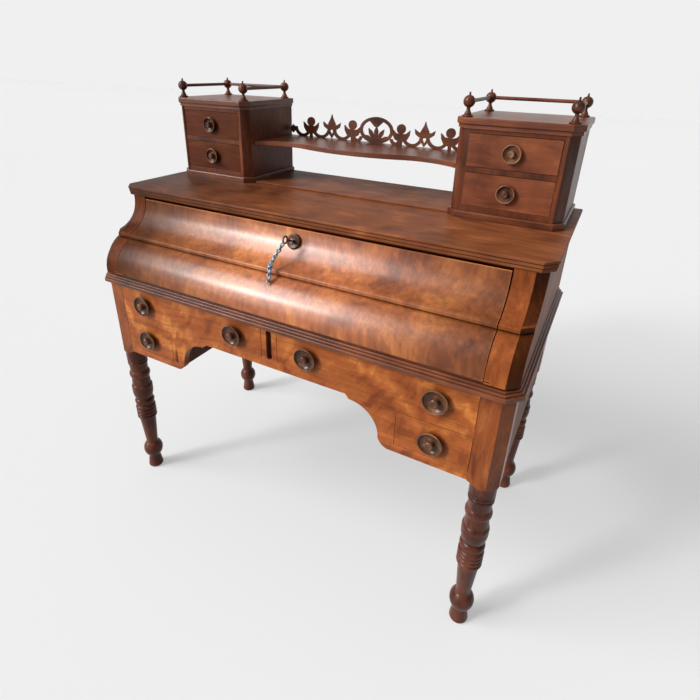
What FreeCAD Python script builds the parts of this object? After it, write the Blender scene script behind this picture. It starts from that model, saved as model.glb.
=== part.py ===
import FreeCAD, Part
import math
import os
from types import SimpleNamespace

import Sketcher
from FreeCAD import Rotation, Vector

# Driving dimensions in millimetres (angles in degrees), kept in the document's sheet.
SIZES = {
    # carcase
    "case_width": 1206, "case_depth": 608, "top_back_overhang": 6, "knob_projection": 22,
    "carcase_rise": 16, "post_width": 68, "case_cant": 24, "rail_height": 22, "rail_depth": 40,
    "small_opening_height": 96, "wide_opening_height": 91, "top_rail_height": 8,
    "bed_thickness": 24, "panel_thickness": 20, "panel_recess": 2,
    "back_thickness": 12, "centre_stile_width": 48, "slot_width": 16, "slot_margin": 3,
    "slot_bottom_rise": 2, "small_opening_width": 180, "knee_stile_width": 18,
    "board_thickness": 12, "guide_height": 20,
    # knee bracket
    "bracket_reach": 115, "bracket_step": 10, "bracket_drop": 12, "bracket_arch": 81,
    "bracket_thickness": 20, "bracket_foot": 36,
    # turned leg: heights of its members from the floor up, then radii
    "leg_foot_height": 9, "leg_ankle_height": 36, "leg_ball_seat_height": 5,
    "leg_ball_height": 56, "leg_ball_neck_height": 8, "leg_shaft_height": 105,
    "leg_reeds_height": 52, "leg_knop_seat_height": 6, "leg_knop_height": 22,
    "leg_vase_seat_height": 3, "leg_vase_height": 41, "leg_crown_height": 14,
    "leg_ring_height": 8, "leg_bead_seat_height": 20, "leg_bead_height": 26,
    "leg_neck_seat_height": 6, "leg_neck_height": 19, "leg_collar_height": 23,
    "leg_shoulder_height": 31,
    "leg_sole": 20, "leg_foot": 24.5, "leg_foot_curve": 8, "leg_ankle": 19, "leg_ball_seat": 20,
    "leg_ball_curve": 39, "leg_shaft_bottom": 19, "leg_shaft_top": 26.5, "leg_reed_gap": 28,
    "leg_reed_curve": 7.4, "leg_knop": 26, "leg_knop_curve": 14, "leg_vase_foot": 27,
    "leg_belly_curve": 90, "leg_vase": 32.5, "leg_vase_curve": 15, "leg_ring": 29, "leg_neck": 27.5,
    "leg_bead_curve": 20, "leg_collar": 28.8, "leg_collar_curve": 8.6, "leg_shoulder": 31,
    "leg_shoulder_rise": 16,
    # moulding round the waist
    "waist_lap": 5, "waist_overhang": 14, "bed_inset": 3, "waist_round": 2.4, "waist_bead": 4,
    "waist_bead_height": 11.5, "waist_step": 5.5,
    # fall front: set-backs from its own front and rises above its lower edge
    "lid_seat": 1, "lid_overhang": 5, "lid_nose": 4, "lip_setback": 66, "ovolo_rise": 88,
    "lip_depth": 6, "quirk": 4, "lip_height": 7, "lip_weather": 3, "lid_setback": 136,
    "lid_rise": 195, "lid_panel_foot": 30, "lid_panel_rise": 152, "lid_panel_thickness": 10,
    "lid_gap_low": 1.2, "lid_gap_high": 3.5, "upper_stile_width": 67.5, "stile_back": 200,
    "pivot_radius": 2.5, "pivot_length": 32, "pivot_reach": 12, "bush_radius": 4.2,
    "pivot_clearance": 0.3,
    # keeper rail above the fall front
    "keeper_front": 140, "keeper_back": 220, "keeper_face_run": 38, "keeper_rise": 165,
    # top board
    "lid_headroom": 6, "top_thickness": 26, "top_overhang": 14.5, "top_front_setback": 124,
    "top_cant": 27, "top_foot_height": 11, "top_bead_height": 6, "top_step": 1.6, "top_round": 3,
    "top_foot_round": 5,
    # lock, key and key cord
    "key_rise": 162, "escutcheon_radius": 20, "escutcheon_thickness": 5, "escutcheon_seat": 2.4,
    "escutcheon_rise": 0.5,
    "escutcheon_boss": 7, "escutcheon_dish": 2.5, "escutcheon_rim": 3, "key_radius": 3,
    "key_bore": 4.5, "key_length": 34, "key_inner": 14.6, "bow_radius": 9, "bow_wire": 2.2,
    "collar_radius": 5.5, "collar_height": 3, "collar_level": 13, "bit_length": 6, "bit_reach": 10,
    "bit_thickness": 2.4, "bit_play": 0.5, "lock_half_width": 35, "lock_low": 24, "lock_high": 21,
    "lock_face": 8, "lock_depth": 14, "chamber_radius": 11.5, "chamber_depth": 7.2,
    "bolt_half_width": 15, "bolt_low": 2, "bolt_high": 20.5, "bolt_near": 15.6, "bolt_far": 20.8,
    "bolt_play": 0.4, "lock_opening": 45, "cord_radius": 4.5,
    # writing interior
    "nest_depth": 190, "nest_side_gap": 19, "nest_thickness": 8, "nest_height": 172,
    "nest_shelf_height": 82, "nest_inner": 90, "nest_middle": 285,
    # loper
    "loper_clearance": 1, "loper_recess": 10, "loper_rear_gap": 166, "loper_seat": 0.3,
    # drawers
    "drawer_gap": 1, "drawer_front": 20, "drawer_rear_gap": 100, "drawer_board": 10,
    "drawer_bottom_board": 6, "drawer_bottom_rise": 6, "drawer_headroom": 8,
    "drawer_side_play": 2, "drawer_seat": 0.4,
    # turned knobs: radius and height shares are of these
    "knob_radius": 30, "small_knob_radius": 22, "small_knob_projection": 18,
    # pedestals of drawers
    "pedestal_side_setback": 26.5, "pedestal_width": 272.5, "pedestal_depth": 241,
    "pedestal_back_setback": 20,
    "pedestal_cant": 20.5, "plinth_height": 17, "plinth_overhang": 6, "plinth_round": 4,
    "pedestal_opening_half": 105.5, "pedestal_wall": 12, "pedestal_sill": 14,
    "lower_opening_height": 81.5, "pedestal_division": 13, "upper_opening_height": 77.5,
    "pedestal_head": 10, "cornice_height": 24, "cornice_step": 8, "cornice_low_overhang": 3,
    "cornice_overhang": 7, "cornice_round": 3.5, "pedestal_drawer_front": 16,
    "pedestal_drawer_gap": 28, "pedestal_drawer_board": 8, "pedestal_guide": 14,
    # gallery rails and their turned posts
    "gallery_inner_inset": 16.5, "gallery_outer_inset": 19, "gallery_front_inset": 16,
    "gallery_rear_inset": 15,
    "gallery_rail": 4.5, "finial_base": 12, "finial_base_height": 4, "finial_base_curve": 2.4,
    "finial_collar": 8.5, "finial_collar_level": 7, "finial_neck": 4.4, "finial_neck_level": 15,
    "finial_ball": 14, "finial_ball_level": 33.5, "finial_tip": 2, "finial_spike": 2.6,
    "finial_height": 54,
    # shelf between the pedestals, with its pierced cresting
    "base_board_thickness": 5, "base_board_setback": 21, "shelf_rise": 110, "shelf_thickness": 13.5,
    "shelf_end_setback": 36, "shelf_break": 145, "shelf_break_setback": 64, "shelf_bow": 470,
    "shelf_hollow": 180, "fret_thickness": 6, "fret_setback": 8, "fret_band": 9.5,
    "fret_height": 76, "fret_end_gap": 2.5, "fret_sink": 2, "fret_lobe": 14,
    # how close a slab's edge lies to a level to count as on it
    "level_tolerance": 0.5,
}

doc = FreeCAD.newDocument("CylinderDesk")
sheet = doc.addObject("Spreadsheet::Sheet", "Sizes")
for row, (name, value) in enumerate(SIZES.items(), start=1):
    sheet.set(f"A{row}", name)
    sheet.set(f"B{row}", str(value))
    sheet.setAlias(f"B{row}", name)
doc.recompute()


class Size:
    """A length that carries its value and the sheet expression that gives it."""

    def __init__(self, value, text):
        self.value = float(value)
        self.text = text

    def __add__(self, other):
        other = sized(other)
        return Size(self.value + other.value, f"({self.text} + {other.text})")

    def __sub__(self, other):
        other = sized(other)
        return Size(self.value - other.value, f"({self.text} - {other.text})")

    def __mul__(self, other):
        other = sized(other)
        return Size(self.value * other.value, f"({self.text} * {other.text})")

    def __truediv__(self, other):
        other = sized(other)
        return Size(self.value / other.value, f"({self.text} / {other.text})")

    def __neg__(self):
        return Size(-self.value, f"(-1 * {self.text})")

    def __rsub__(self, other):
        return sized(other) - self

    __rmul__ = __mul__


def sized(number):
    return number if isinstance(number, Size) else Size(number, repr(number))


def root(size):
    return Size(math.sqrt(size.value), f"sqrt({size.text})")


def arc_cosine(size):
    return Size(math.degrees(math.acos(size.value)), f"acos({size.text})")


size = SimpleNamespace(**{name: Size(sheet.get(name), f"Sizes.{name}") for name in SIZES})
ZERO = sized(0)
LEFT = -1
RIGHT = 1
nodes = []


def node(label, item):
    item.Label = label
    nodes.append(item)
    return item


def bind(item, name, amount):
    item.setExpression(name, sized(amount).text)


def place(item, x=ZERO, y=ZERO, z=ZERO):
    for axis, amount in zip("xyz", (x, y, z)):
        bind(item, "Placement.Base." + axis, amount)


def turn(item, axis, angle):
    item.Placement.Rotation = Rotation(axis, sized(angle).value)
    bind(item, "Placement.Rotation.Angle", angle)


def on_side(side, low, high):
    """A span on the right of the middle plane, or its mirror image on the left."""
    return (low, high) if side == RIGHT else (-high, -low)


def board(name, x, y, z):
    box = doc.addObject("Part::Box", name)
    for edge, (low, high) in zip(("Length", "Width", "Height"), (x, y, z)):
        bind(box, edge, high - low)
    place(box, x[0], y[0], z[0])
    return box


def rod(name, radius, length):
    cylinder = doc.addObject("Part::Cylinder", name)
    bind(cylinder, "Radius", radius)
    bind(cylinder, "Height", length)
    return cylinder


def group(name, pieces):
    joined = doc.addObject("Part::Compound", name)
    joined.Links = pieces
    return joined


def fused(name, pieces):
    joined = doc.addObject("Part::MultiFuse", name)
    joined.Shapes = pieces
    joined.Refine = True
    return joined


def cut(name, base, tool):
    remaining = doc.addObject("Part::Cut", name)
    remaining.Base = base
    remaining.Tool = tool
    return remaining


def corner(u, v, radius=None, bend=1):
    """An outline corner, and the arc that leads on from it; bend is 1 anticlockwise, -1 clockwise."""
    return SimpleNamespace(u=sized(u), v=sized(v), radius=radius, bend=bend)


def arc_between(start, end, radius, bend):
    chord = end - start
    middle = (start + end) * 0.5
    across = Vector(-chord.y, chord.x, 0).normalize()
    height = math.sqrt(max(radius ** 2 - (chord.Length / 2) ** 2, 0))
    centre = middle + across * height * bend
    first, last = (start, end) if bend == 1 else (end, start)
    angles = [math.atan2(point.y - centre.y, point.x - centre.x) for point in (first, last)]
    return Part.ArcOfCircle(Part.Circle(centre, Vector(0, 0, 1), radius), *angles)


def draw(sketch, corners):
    """Draws a closed outline and binds each corner and radius to its sheet expression."""
    places = [Vector(point.u.value, point.v.value, 0) for point in corners]
    ends = []
    for index, point in enumerate(corners):
        start = places[index]
        end = places[(index + 1) % len(corners)]
        if point.radius is None:
            sketch.addGeometry(Part.LineSegment(start, end))
        else:
            sketch.addGeometry(arc_between(start, end, point.radius.value, point.bend))
        ends.append((1, 2) if point.radius is None or point.bend == 1 else (2, 1))
    for index, point in enumerate(corners):
        following = (index + 1) % len(corners)
        sketch.addConstraint(
            Sketcher.Constraint("Coincident", index, ends[index][1], following, ends[following][0]))
        for kind, axis, amount in (("DistanceX", -2, point.u), ("DistanceY", -1, point.v)):
            if amount.value == 0:
                sketch.addConstraint(
                    Sketcher.Constraint("PointOnObject", index, ends[index][0], axis))
                continue
            number = sketch.addConstraint(
                Sketcher.Constraint(kind, -1, 1, index, ends[index][0], amount.value))
            sketch.setExpression(f"Constraints[{number}]", amount.text)
        if point.radius is not None:
            number = sketch.addConstraint(Sketcher.Constraint("Radius", index, point.radius.value))
            sketch.setExpression(f"Constraints[{number}]", point.radius.text)


def new_body(name):
    return doc.addObject("PartDesign::Body", name)


def outline(body, name, plane, corners, level=ZERO):
    sketch = body.newObject("Sketcher::SketchObject", name)
    support = next(item for item in body.Origin.OriginFeatures if item.Role == plane)
    sketch.AttachmentSupport = [(support, "")]
    sketch.MapMode = "FlatFace"
    bind(sketch, "AttachmentOffset.Base.z", level)
    draw(sketch, corners)
    return sketch


def pad(body, sketch, length, backwards=False):
    feature = body.newObject("PartDesign::Pad", sketch.Name + "_pad")
    feature.Profile = sketch
    feature.Reversed = backwards
    bind(feature, "Length", length)
    return feature


def prism(name, plane, corners, low, high):
    """A board with an outline, between two levels along the plane's normal."""
    body = new_body(name)
    pad(body, outline(body, name + "_outline", plane, corners, low), high - low)
    return body


def across_depth(name, corners, front, back):
    """A board drawn from the front (x, z), between two depths."""
    return prism(name, "XZ_Plane", corners, -back, -front)


def turned(name, corners):
    body = new_body(name)
    sketch = outline(body, name + "_profile", "XZ_Plane", corners)
    spin = body.newObject("PartDesign::Revolution", name + "_turning")
    spin.Profile = sketch
    spin.ReferenceAxis = (sketch, ["V_Axis"])
    spin.Angle = 360
    return body


def soften(body, name, amount, levels, kind="Fillet"):
    """Rounds or chamfers the front and side edges of a slab at the given heights."""
    doc.recompute()
    base = body.Tip
    near = size.level_tolerance.value
    back = base.Shape.BoundBox.YMax
    chosen = []
    for number, edge in enumerate(base.Shape.Edges, start=1):
        box = edge.BoundBox
        level = box.ZLength < near and any(abs(box.ZMin - height.value) < near for height in levels)
        if level and box.YMin < back - near:
            chosen.append(f"Edge{number}")
    feature = body.newObject("PartDesign::" + kind, name)
    feature.Base = (base, chosen)
    bind(feature, "Radius" if kind == "Fillet" else "Size", amount)


def slab(body, name, plan, low, high):
    return pad(body, outline(body, name, "XY_Plane", plan, low), high - low)


def sink(body, name, plan, level, depth):
    """Cuts a plan shape downwards from a level."""
    pocket = body.newObject("PartDesign::Pocket", name + "_cut")
    pocket.Profile = outline(body, name, "XY_Plane", plan, level)
    bind(pocket, "Length", depth)


def mirror_image(name, source):
    image = doc.addObject("Part::Mirroring", name)
    image.Source = source
    image.Normal = Vector(1, 0, 0)
    return image


def both_sides(label, build):
    """Builds the right-hand piece and its mirror image as two nodes."""
    piece = node("right_" + label, build())
    node("left_" + label, mirror_image("left_" + label, piece))


def pair(label, build):
    """Builds the right-hand piece and its mirror image as one node."""
    piece = build()
    node(label, group(label, [piece, mirror_image(label + "_image", piece)]))


def canted_plan(left, right, front, back, cant):
    """A plan with its two front corners cut off at 45 degrees."""
    return [
        corner(left, back),
        corner(left, front + cant),
        corner(left + cant, front),
        corner(right - cant, front),
        corner(right, front + cant),
        corner(right, back),
    ]


def grown_plan(half, front, back, cant, margin):
    """The plan of a canted slab, moved outwards by a margin at the front and the sides."""
    wider = cant + margin * (2 - root(sized(2)))
    return canted_plan(-half - margin, half + margin, front - margin, back, wider)


# Planes and levels that follow from the driving dimensions.
HALF = size.case_width / 2
FRONT = size.knob_projection - (size.case_depth + size.top_back_overhang + size.knob_projection) / 2
BACK = FRONT + size.case_depth
TOP_BACK = BACK + size.top_back_overhang
POST_INNER = HALF - size.post_width
POST_REAR = FRONT + size.post_width
REAR_POST = BACK - size.post_width
RAIL_REAR = FRONT + size.rail_depth
BACK_FACE = BACK - size.back_thickness
PANEL_OUTER = HALF - size.panel_recess
PANEL_INNER = PANEL_OUTER - size.panel_thickness
KNEE_STILE = POST_INNER - size.small_opening_width
KNEEHOLE_HALF = KNEE_STILE - size.knee_stile_width
BRACKET_TIP = KNEEHOLE_HALF - size.bracket_reach
LEG_MEMBERS = [
    "foot", "ankle", "ball_seat", "ball", "ball_neck", "shaft", "reeds", "knop_seat", "knop",
    "vase_seat", "vase", "crown", "ring", "bead_seat", "bead", "neck_seat", "neck", "collar",
    "shoulder",
]
leg_tops = SimpleNamespace()
LEG_TOP = ZERO
for member in LEG_MEMBERS:
    LEG_TOP = LEG_TOP + getattr(size, f"leg_{member}_height")
    setattr(leg_tops, member, LEG_TOP)
CARCASE_BOTTOM = LEG_TOP + size.carcase_rise
LOWER_RAIL_TOP = CARCASE_BOTTOM + size.rail_height
MIDDLE_RAIL_BOTTOM = LOWER_RAIL_TOP + size.small_opening_height
MIDDLE_RAIL_TOP = MIDDLE_RAIL_BOTTOM + size.rail_height
TOP_RAIL_BOTTOM = MIDDLE_RAIL_TOP + size.wide_opening_height
BED_BOTTOM = TOP_RAIL_BOTTOM + size.top_rail_height
BED_TOP = BED_BOTTOM + size.bed_thickness
WAIST_BOTTOM = BED_BOTTOM - size.waist_lap
LID_BOTTOM = BED_TOP + size.lid_seat
DUST_BOTTOM = MIDDLE_RAIL_TOP - size.board_thickness
STILE_HALF = size.centre_stile_width / 2
LID_FRONT = FRONT - size.lid_overhang
LID_TOP = LID_BOTTOM + size.lid_rise
TOP_BOTTOM = LID_TOP + size.lid_headroom
TOP_LEVEL = TOP_BOTTOM + size.top_thickness
OVOLO = (size.lip_setback * size.lip_setback + size.ovolo_rise * size.ovolo_rise) / (2 * size.lip_setback)
LID_HALF = HALF - size.upper_stile_width
AXIS_Y = LID_FRONT + size.lid_nose
AXIS_Z = LID_BOTTOM + size.lid_nose
COVE_RUN = size.lid_setback - size.lip_setback + size.lip_depth - size.lip_weather
COVE_RISE = size.lid_rise - size.lid_nose - size.ovolo_rise - size.quirk - size.lip_height - size.lip_weather
CAVETTO = (COVE_RUN * COVE_RUN + COVE_RISE * COVE_RISE) / (2 * COVE_RUN)
KEY_FALL = size.lid_rise - size.key_rise
KEY_Y = LID_FRONT + size.lid_setback - CAVETTO + root(CAVETTO * CAVETTO - KEY_FALL * KEY_FALL)
KEY_Z = LID_BOTTOM + size.key_rise
KEY_TILT = arc_cosine(KEY_FALL / CAVETTO)
LOCK_WIDTH = (-size.lock_half_width, size.lock_half_width)
LOCK_DEPTH = (-size.lock_face - size.lock_depth, -size.lock_face)
BIT_SLIT = (-size.bit_thickness / 2 - size.bit_play, size.bit_thickness / 2 + size.bit_play)
TOP_HALF = HALF + size.top_overhang
NEST_HALF = HALF - size.panel_thickness - size.nest_side_gap
NEST_FRONT = BACK_FACE - size.nest_depth
PEDESTAL_OUTER = TOP_HALF - size.pedestal_side_setback
PEDESTAL_INNER = PEDESTAL_OUTER - size.pedestal_width
PEDESTAL_BACK = TOP_BACK - size.pedestal_back_setback
PEDESTAL_FRONT = PEDESTAL_BACK - size.pedestal_depth
PEDESTAL_MIDDLE = (PEDESTAL_INNER + PEDESTAL_OUTER) / 2
LOWER_OPENING_BOTTOM = TOP_LEVEL + size.plinth_height + size.pedestal_sill
LOWER_OPENING_TOP = LOWER_OPENING_BOTTOM + size.lower_opening_height
UPPER_OPENING_BOTTOM = LOWER_OPENING_TOP + size.pedestal_division
UPPER_OPENING_TOP = UPPER_OPENING_BOTTOM + size.upper_opening_height
CORNICE_BOTTOM = UPPER_OPENING_TOP + size.pedestal_head
CORNICE_TOP = CORNICE_BOTTOM + size.cornice_height
SHELF_BOTTOM = TOP_LEVEL + size.shelf_rise
SHELF_TOP = SHELF_BOTTOM + size.shelf_thickness


# Legs: a turned column under a square post.
REED_COUNT = 4
COLLAR_COUNT = 2


def reeds(radius, low, height, count, curve):
    """The feet of a row of equal rounds, one above the other."""
    return [corner(radius, low + step * height / count, curve) for step in range(count)]


def leg_profile():
    rounds = [
        corner(0, 0),
        corner(size.leg_sole, 0, size.leg_foot_curve),
        corner(size.leg_foot, leg_tops.foot),
        corner(size.leg_ankle, leg_tops.ankle),
        corner(size.leg_ball_seat, leg_tops.ball_seat, size.leg_ball_curve),
        corner(size.leg_ball_seat, leg_tops.ball),
        corner(size.leg_shaft_bottom, leg_tops.ball_neck),
        corner(size.leg_shaft_top, leg_tops.shaft),
    ]
    rounds += reeds(size.leg_reed_gap, leg_tops.shaft, size.leg_reeds_height, REED_COUNT, size.leg_reed_curve)
    rounds += [
        corner(size.leg_reed_gap, leg_tops.reeds),
        corner(size.leg_knop, leg_tops.knop_seat, size.leg_knop_curve),
        corner(size.leg_knop, leg_tops.knop),
        corner(size.leg_vase_foot, leg_tops.vase_seat, size.leg_belly_curve),
        corner(size.leg_vase, leg_tops.vase, size.leg_vase_curve),
        corner(size.leg_ring, leg_tops.crown),
        corner(size.leg_ring, leg_tops.ring),
        corner(size.leg_neck, leg_tops.bead_seat, size.leg_bead_curve),
        corner(size.leg_neck, leg_tops.bead),
        corner(size.leg_neck, leg_tops.neck_seat),
    ]
    collar_curve = size.leg_collar_curve
    rounds += reeds(size.leg_collar, leg_tops.neck, size.leg_collar_height, COLLAR_COUNT, collar_curve)
    rounds += [
        corner(size.leg_collar, leg_tops.collar),
        corner(size.leg_shoulder, leg_tops.collar),
        corner(size.leg_shoulder, LEG_TOP),
        corner(0, LEG_TOP),
    ]
    return rounds


def leg(label, side, front):
    body = new_body(label)
    half = size.post_width / 2
    sketch = outline(body, label + "_profile", "XZ_Plane", leg_profile())
    spin = body.newObject("PartDesign::Revolution", label + "_turning")
    spin.Profile = sketch
    spin.ReferenceAxis = (sketch, ["V_Axis"])
    spin.Angle = 360
    plan = [corner(-half, half), corner(-half, -half), corner(half, -half), corner(half, half)]
    if front and side == LEFT:
        plan[1:2] = [corner(-half, size.case_cant - half), corner(size.case_cant - half, -half)]
    if front and side == RIGHT:
        plan[2:3] = [corner(half - size.case_cant, -half), corner(half, size.case_cant - half)]
    block = outline(body, label + "_block", "XY_Plane", plan, LEG_TOP)
    pad(body, block, BED_BOTTOM - LEG_TOP)
    shoulder = [
        corner(size.leg_shoulder, LEG_TOP),
        corner(size.post_width, LEG_TOP),
        corner(size.post_width, LEG_TOP + 2 * size.leg_shoulder_rise),
    ]
    lathe = outline(body, label + "_shoulder", "XZ_Plane", shoulder)
    groove = body.newObject("PartDesign::Groove", label + "_lathe_cut")
    groove.Profile = lathe
    groove.ReferenceAxis = (lathe, ["V_Axis"])
    groove.Angle = 360
    axis_x = HALF - half
    axis_y = FRONT + half if front else BACK - half
    place(body, axis_x if side == RIGHT else -axis_x, axis_y)
    node(label, body)


def legs():
    for side, word in ((LEFT, "left"), (RIGHT, "right")):
        leg(f"front_{word}_leg", side, True)
        leg(f"rear_{word}_leg", side, False)


# Lower carcase: panels, rails, stiles, brackets, runners and guides.
def carcase():
    height = (CARCASE_BOTTOM, BED_BOTTOM)
    sides = [board("side", on_side(side, PANEL_INNER, PANEL_OUTER), (POST_REAR, REAR_POST), height)
             for side in (LEFT, RIGHT)]
    node("side_panels", group("sides", sides))
    back = board("lower_back", (-POST_INNER, POST_INNER), (BACK_FACE, BACK), height)
    node("lower_back_panel", back)


def front_rails():
    depth = (FRONT, RAIL_REAR)
    full = (-POST_INNER, POST_INNER)
    pieces = [
        board("upper_rail", full, depth, (TOP_RAIL_BOTTOM, BED_BOTTOM)),
        board("middle_rail", full, depth, (MIDDLE_RAIL_BOTTOM, MIDDLE_RAIL_TOP)),
    ]
    for side in (LEFT, RIGHT):
        low = on_side(side, KNEEHOLE_HALF, POST_INNER)
        upright = on_side(side, KNEEHOLE_HALF, KNEE_STILE)
        pieces.append(board("lower_rail", low, depth, (CARCASE_BOTTOM, LOWER_RAIL_TOP)))
        pieces.append(board("knee_stile", upright, depth, (LOWER_RAIL_TOP, MIDDLE_RAIL_BOTTOM)))
    node("front_rails", group("rails", pieces))


def stadium(half_width, low, high):
    """An upright slot outline with round ends, each end two quarter arcs."""
    radius = half_width
    return [
        corner(half_width, low + radius),
        corner(half_width, high - radius, radius),
        corner(0, high, radius),
        corner(-half_width, high - radius),
        corner(-half_width, low + radius, radius),
        corner(0, low, radius),
    ]


def centre_stile():
    low = MIDDLE_RAIL_TOP
    high = TOP_RAIL_BOTTOM
    block = board("stile_block", (-STILE_HALF, STILE_HALF), (FRONT, RAIL_REAR), (low, high))
    opening = stadium(size.slot_width / 2, low + size.slot_bottom_rise, high - size.slot_margin)
    slot = across_depth("loper_slot", opening, FRONT - size.rail_depth, RAIL_REAR + size.rail_depth)
    node("centre_stile", cut("slotted_stile", block, slot))


def knee_brackets():
    arch_x = BRACKET_TIP + size.bracket_step
    arch_top = MIDDLE_RAIL_BOTTOM - size.bracket_drop
    arch_foot = arch_top - size.bracket_arch
    pieces = []
    for side in (LEFT, RIGHT):
        corners = [
            corner(side * BRACKET_TIP, MIDDLE_RAIL_BOTTOM),
            corner(side * arch_x, arch_top, size.bracket_arch, -side),
            corner(side * (arch_x + size.bracket_arch), arch_foot, size.bracket_foot, side),
            corner(side * KNEEHOLE_HALF, CARCASE_BOTTOM),
            corner(side * KNEEHOLE_HALF, MIDDLE_RAIL_BOTTOM),
        ]
        pieces.append(across_depth("bracket", corners, FRONT, FRONT + size.bracket_thickness))
    node("knee_brackets", group("brackets", pieces))


def runners():
    inside = (RAIL_REAR, BACK_FACE)
    full = (-POST_INNER, POST_INNER)
    node("dust_board", board("dust", full, inside, (DUST_BOTTOM, MIDDLE_RAIL_TOP)))
    walls = []
    tracks = []
    between_posts = (POST_REAR, REAR_POST)
    for side in (LEFT, RIGHT):
        wall = on_side(side, KNEEHOLE_HALF, KNEE_STILE)
        floor = on_side(side, KNEE_STILE, POST_INNER)
        guide = on_side(side, POST_INNER, PANEL_INNER)
        floor_bottom = LOWER_RAIL_TOP - size.board_thickness
        walls.append(board("knee_wall", wall, inside, (CARCASE_BOTTOM, DUST_BOTTOM)))
        tracks.append(board("drawer_floor", floor, inside, (floor_bottom, LOWER_RAIL_TOP)))
        for level in (LOWER_RAIL_TOP, MIDDLE_RAIL_TOP):
            tracks.append(board("guide", guide, between_posts, (level, level + size.guide_height)))
    node("kneehole_walls", group("knee_walls", walls))
    node("drawer_runners", group("tracks", tracks))


def loper_and_guide():
    half = size.slot_width / 2
    inner = half + size.loper_clearance
    depth = (RAIL_REAR, BACK_FACE)
    height = (MIDDLE_RAIL_TOP, TOP_RAIL_BOTTOM)
    low = MIDDLE_RAIL_TOP + size.slot_bottom_rise + size.loper_clearance
    high = TOP_RAIL_BOTTOM - size.slot_margin - size.loper_clearance
    cheeks = [board("cheek", on_side(side, inner, STILE_HALF), depth, height) for side in (LEFT, RIGHT)]
    track = board("track", (-inner, inner), depth, (MIDDLE_RAIL_TOP, low - size.loper_seat))
    node("loper_guide", group("guide_box", cheeks + [track]))
    section = stadium(half - size.loper_clearance, low, high)
    node("loper", across_depth(
        "loper_bar", section, FRONT + size.loper_recess, BACK_FACE - size.loper_rear_gap))


# Writing bed and the moulding round its edge, which slopes down to let the fall front swing over.
def writing_bed():
    bed = new_body("bed")
    plan = grown_plan(HALF, FRONT, BACK, size.case_cant, -size.bed_inset)
    slab(bed, "bed_plan", plan, BED_BOTTOM, BED_TOP)
    node("writing_bed", bed)


WAIST_STEPS = 3


def waist_moulding():
    """Three rounded steps, set back upwards so that the open front passes over them."""
    ring = new_body("waist")
    low = WAIST_BOTTOM
    high = WAIST_BOTTOM + size.waist_bead_height
    margin = size.waist_overhang
    for step in range(WAIST_STEPS):
        plan = grown_plan(HALF, FRONT, BACK, size.case_cant, margin)
        slab(ring, f"waist_plan_{step}", plan, low, high)
        soften(ring, f"waist_round_{step}", size.waist_round, [high])
        low = high
        high = high + size.waist_step
        margin = margin - size.waist_step
    soften(ring, "waist_foot", size.waist_bead, [WAIST_BOTTOM])
    inner = grown_plan(HALF, FRONT, TOP_BACK, size.case_cant, -size.bed_inset)
    sink(ring, "bed_seat", inner, BED_TOP, BED_TOP - BED_BOTTOM)
    case = grown_plan(HALF, FRONT, TOP_BACK, size.case_cant, ZERO)
    sink(ring, "case_seat", case, BED_BOTTOM, BED_BOTTOM - WAIST_BOTTOM)
    node("waist_moulding", ring)


# Ogee of the fall front and of the stiles beside it, drawn from the side (depth, height).
def ogee():
    lip = LID_FRONT + size.lip_setback - size.lip_depth
    quirk = AXIS_Z + size.ovolo_rise + size.quirk
    cove_foot = quirk + size.lip_height + size.lip_weather
    return [
        corner(LID_FRONT, AXIS_Z, OVOLO, -1),
        corner(LID_FRONT + size.lip_setback, AXIS_Z + size.ovolo_rise),
        corner(lip, quirk),
        corner(lip, quirk + size.lip_height),
        corner(lip + size.lip_weather, cove_foot, CAVETTO, 1),
        corner(LID_FRONT + size.lid_setback, LID_TOP),
    ]


def upper_end():
    back = LID_FRONT + size.stile_back
    profile = [corner(LID_FRONT, BED_TOP)] + ogee() + [
        corner(LID_FRONT + size.lid_setback, TOP_BOTTOM),
        corner(back, TOP_BOTTOM),
        corner(back, BED_TOP),
    ]
    body = new_body("upper_end_blank")
    flat = HALF - size.case_cant
    pad(body, outline(body, "stile_face", "YZ_Plane", profile, LID_HALF), flat - LID_HALF)
    canted = pad(body, outline(body, "stile_cant", "YZ_Plane", profile, flat), size.case_cant)
    canted.UseCustomVector = True
    canted.Direction = Vector(1, 1, 0)
    canted.AlongSketchNormal = True
    panel = [
        corner(back - size.case_cant, BED_TOP),
        corner(BACK, BED_TOP),
        corner(BACK, TOP_BOTTOM),
        corner(back - size.case_cant, TOP_BOTTOM),
    ]
    inner = HALF - size.panel_thickness
    pad(body, outline(body, "end_panel", "YZ_Plane", panel, inner), size.panel_thickness)
    bore = rod("bush_bore", size.bush_radius, size.pivot_reach)
    turn(bore, Vector(0, 1, 0), 90)
    place(bore, LID_HALF, AXIS_Y, AXIS_Z)
    return cut("bored_end", body, bore)


def pivot_bushes():
    pieces = []
    for side in (LEFT, RIGHT):
        sleeve = rod("sleeve", size.bush_radius, size.pivot_reach)
        hole = rod("sleeve_hole", size.pivot_radius + size.pivot_clearance, size.pivot_reach)
        tube = cut("bush", sleeve, hole)
        turn(tube, Vector(0, 1, 0), 90)
        start = LID_HALF if side == RIGHT else -LID_HALF - size.pivot_reach
        place(tube, start, AXIS_Y, AXIS_Z)
        pieces.append(tube)
    node("pivot_bushes", group("bushes", pieces))


def upper_case():
    both_sides("upper_end", upper_end)
    pivot_bushes()
    inner = HALF - size.panel_thickness
    height = (BED_TOP, TOP_BOTTOM)
    node("upper_back_panel", board("upper_back", (-inner, inner), (BACK_FACE, BACK), height))


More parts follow.
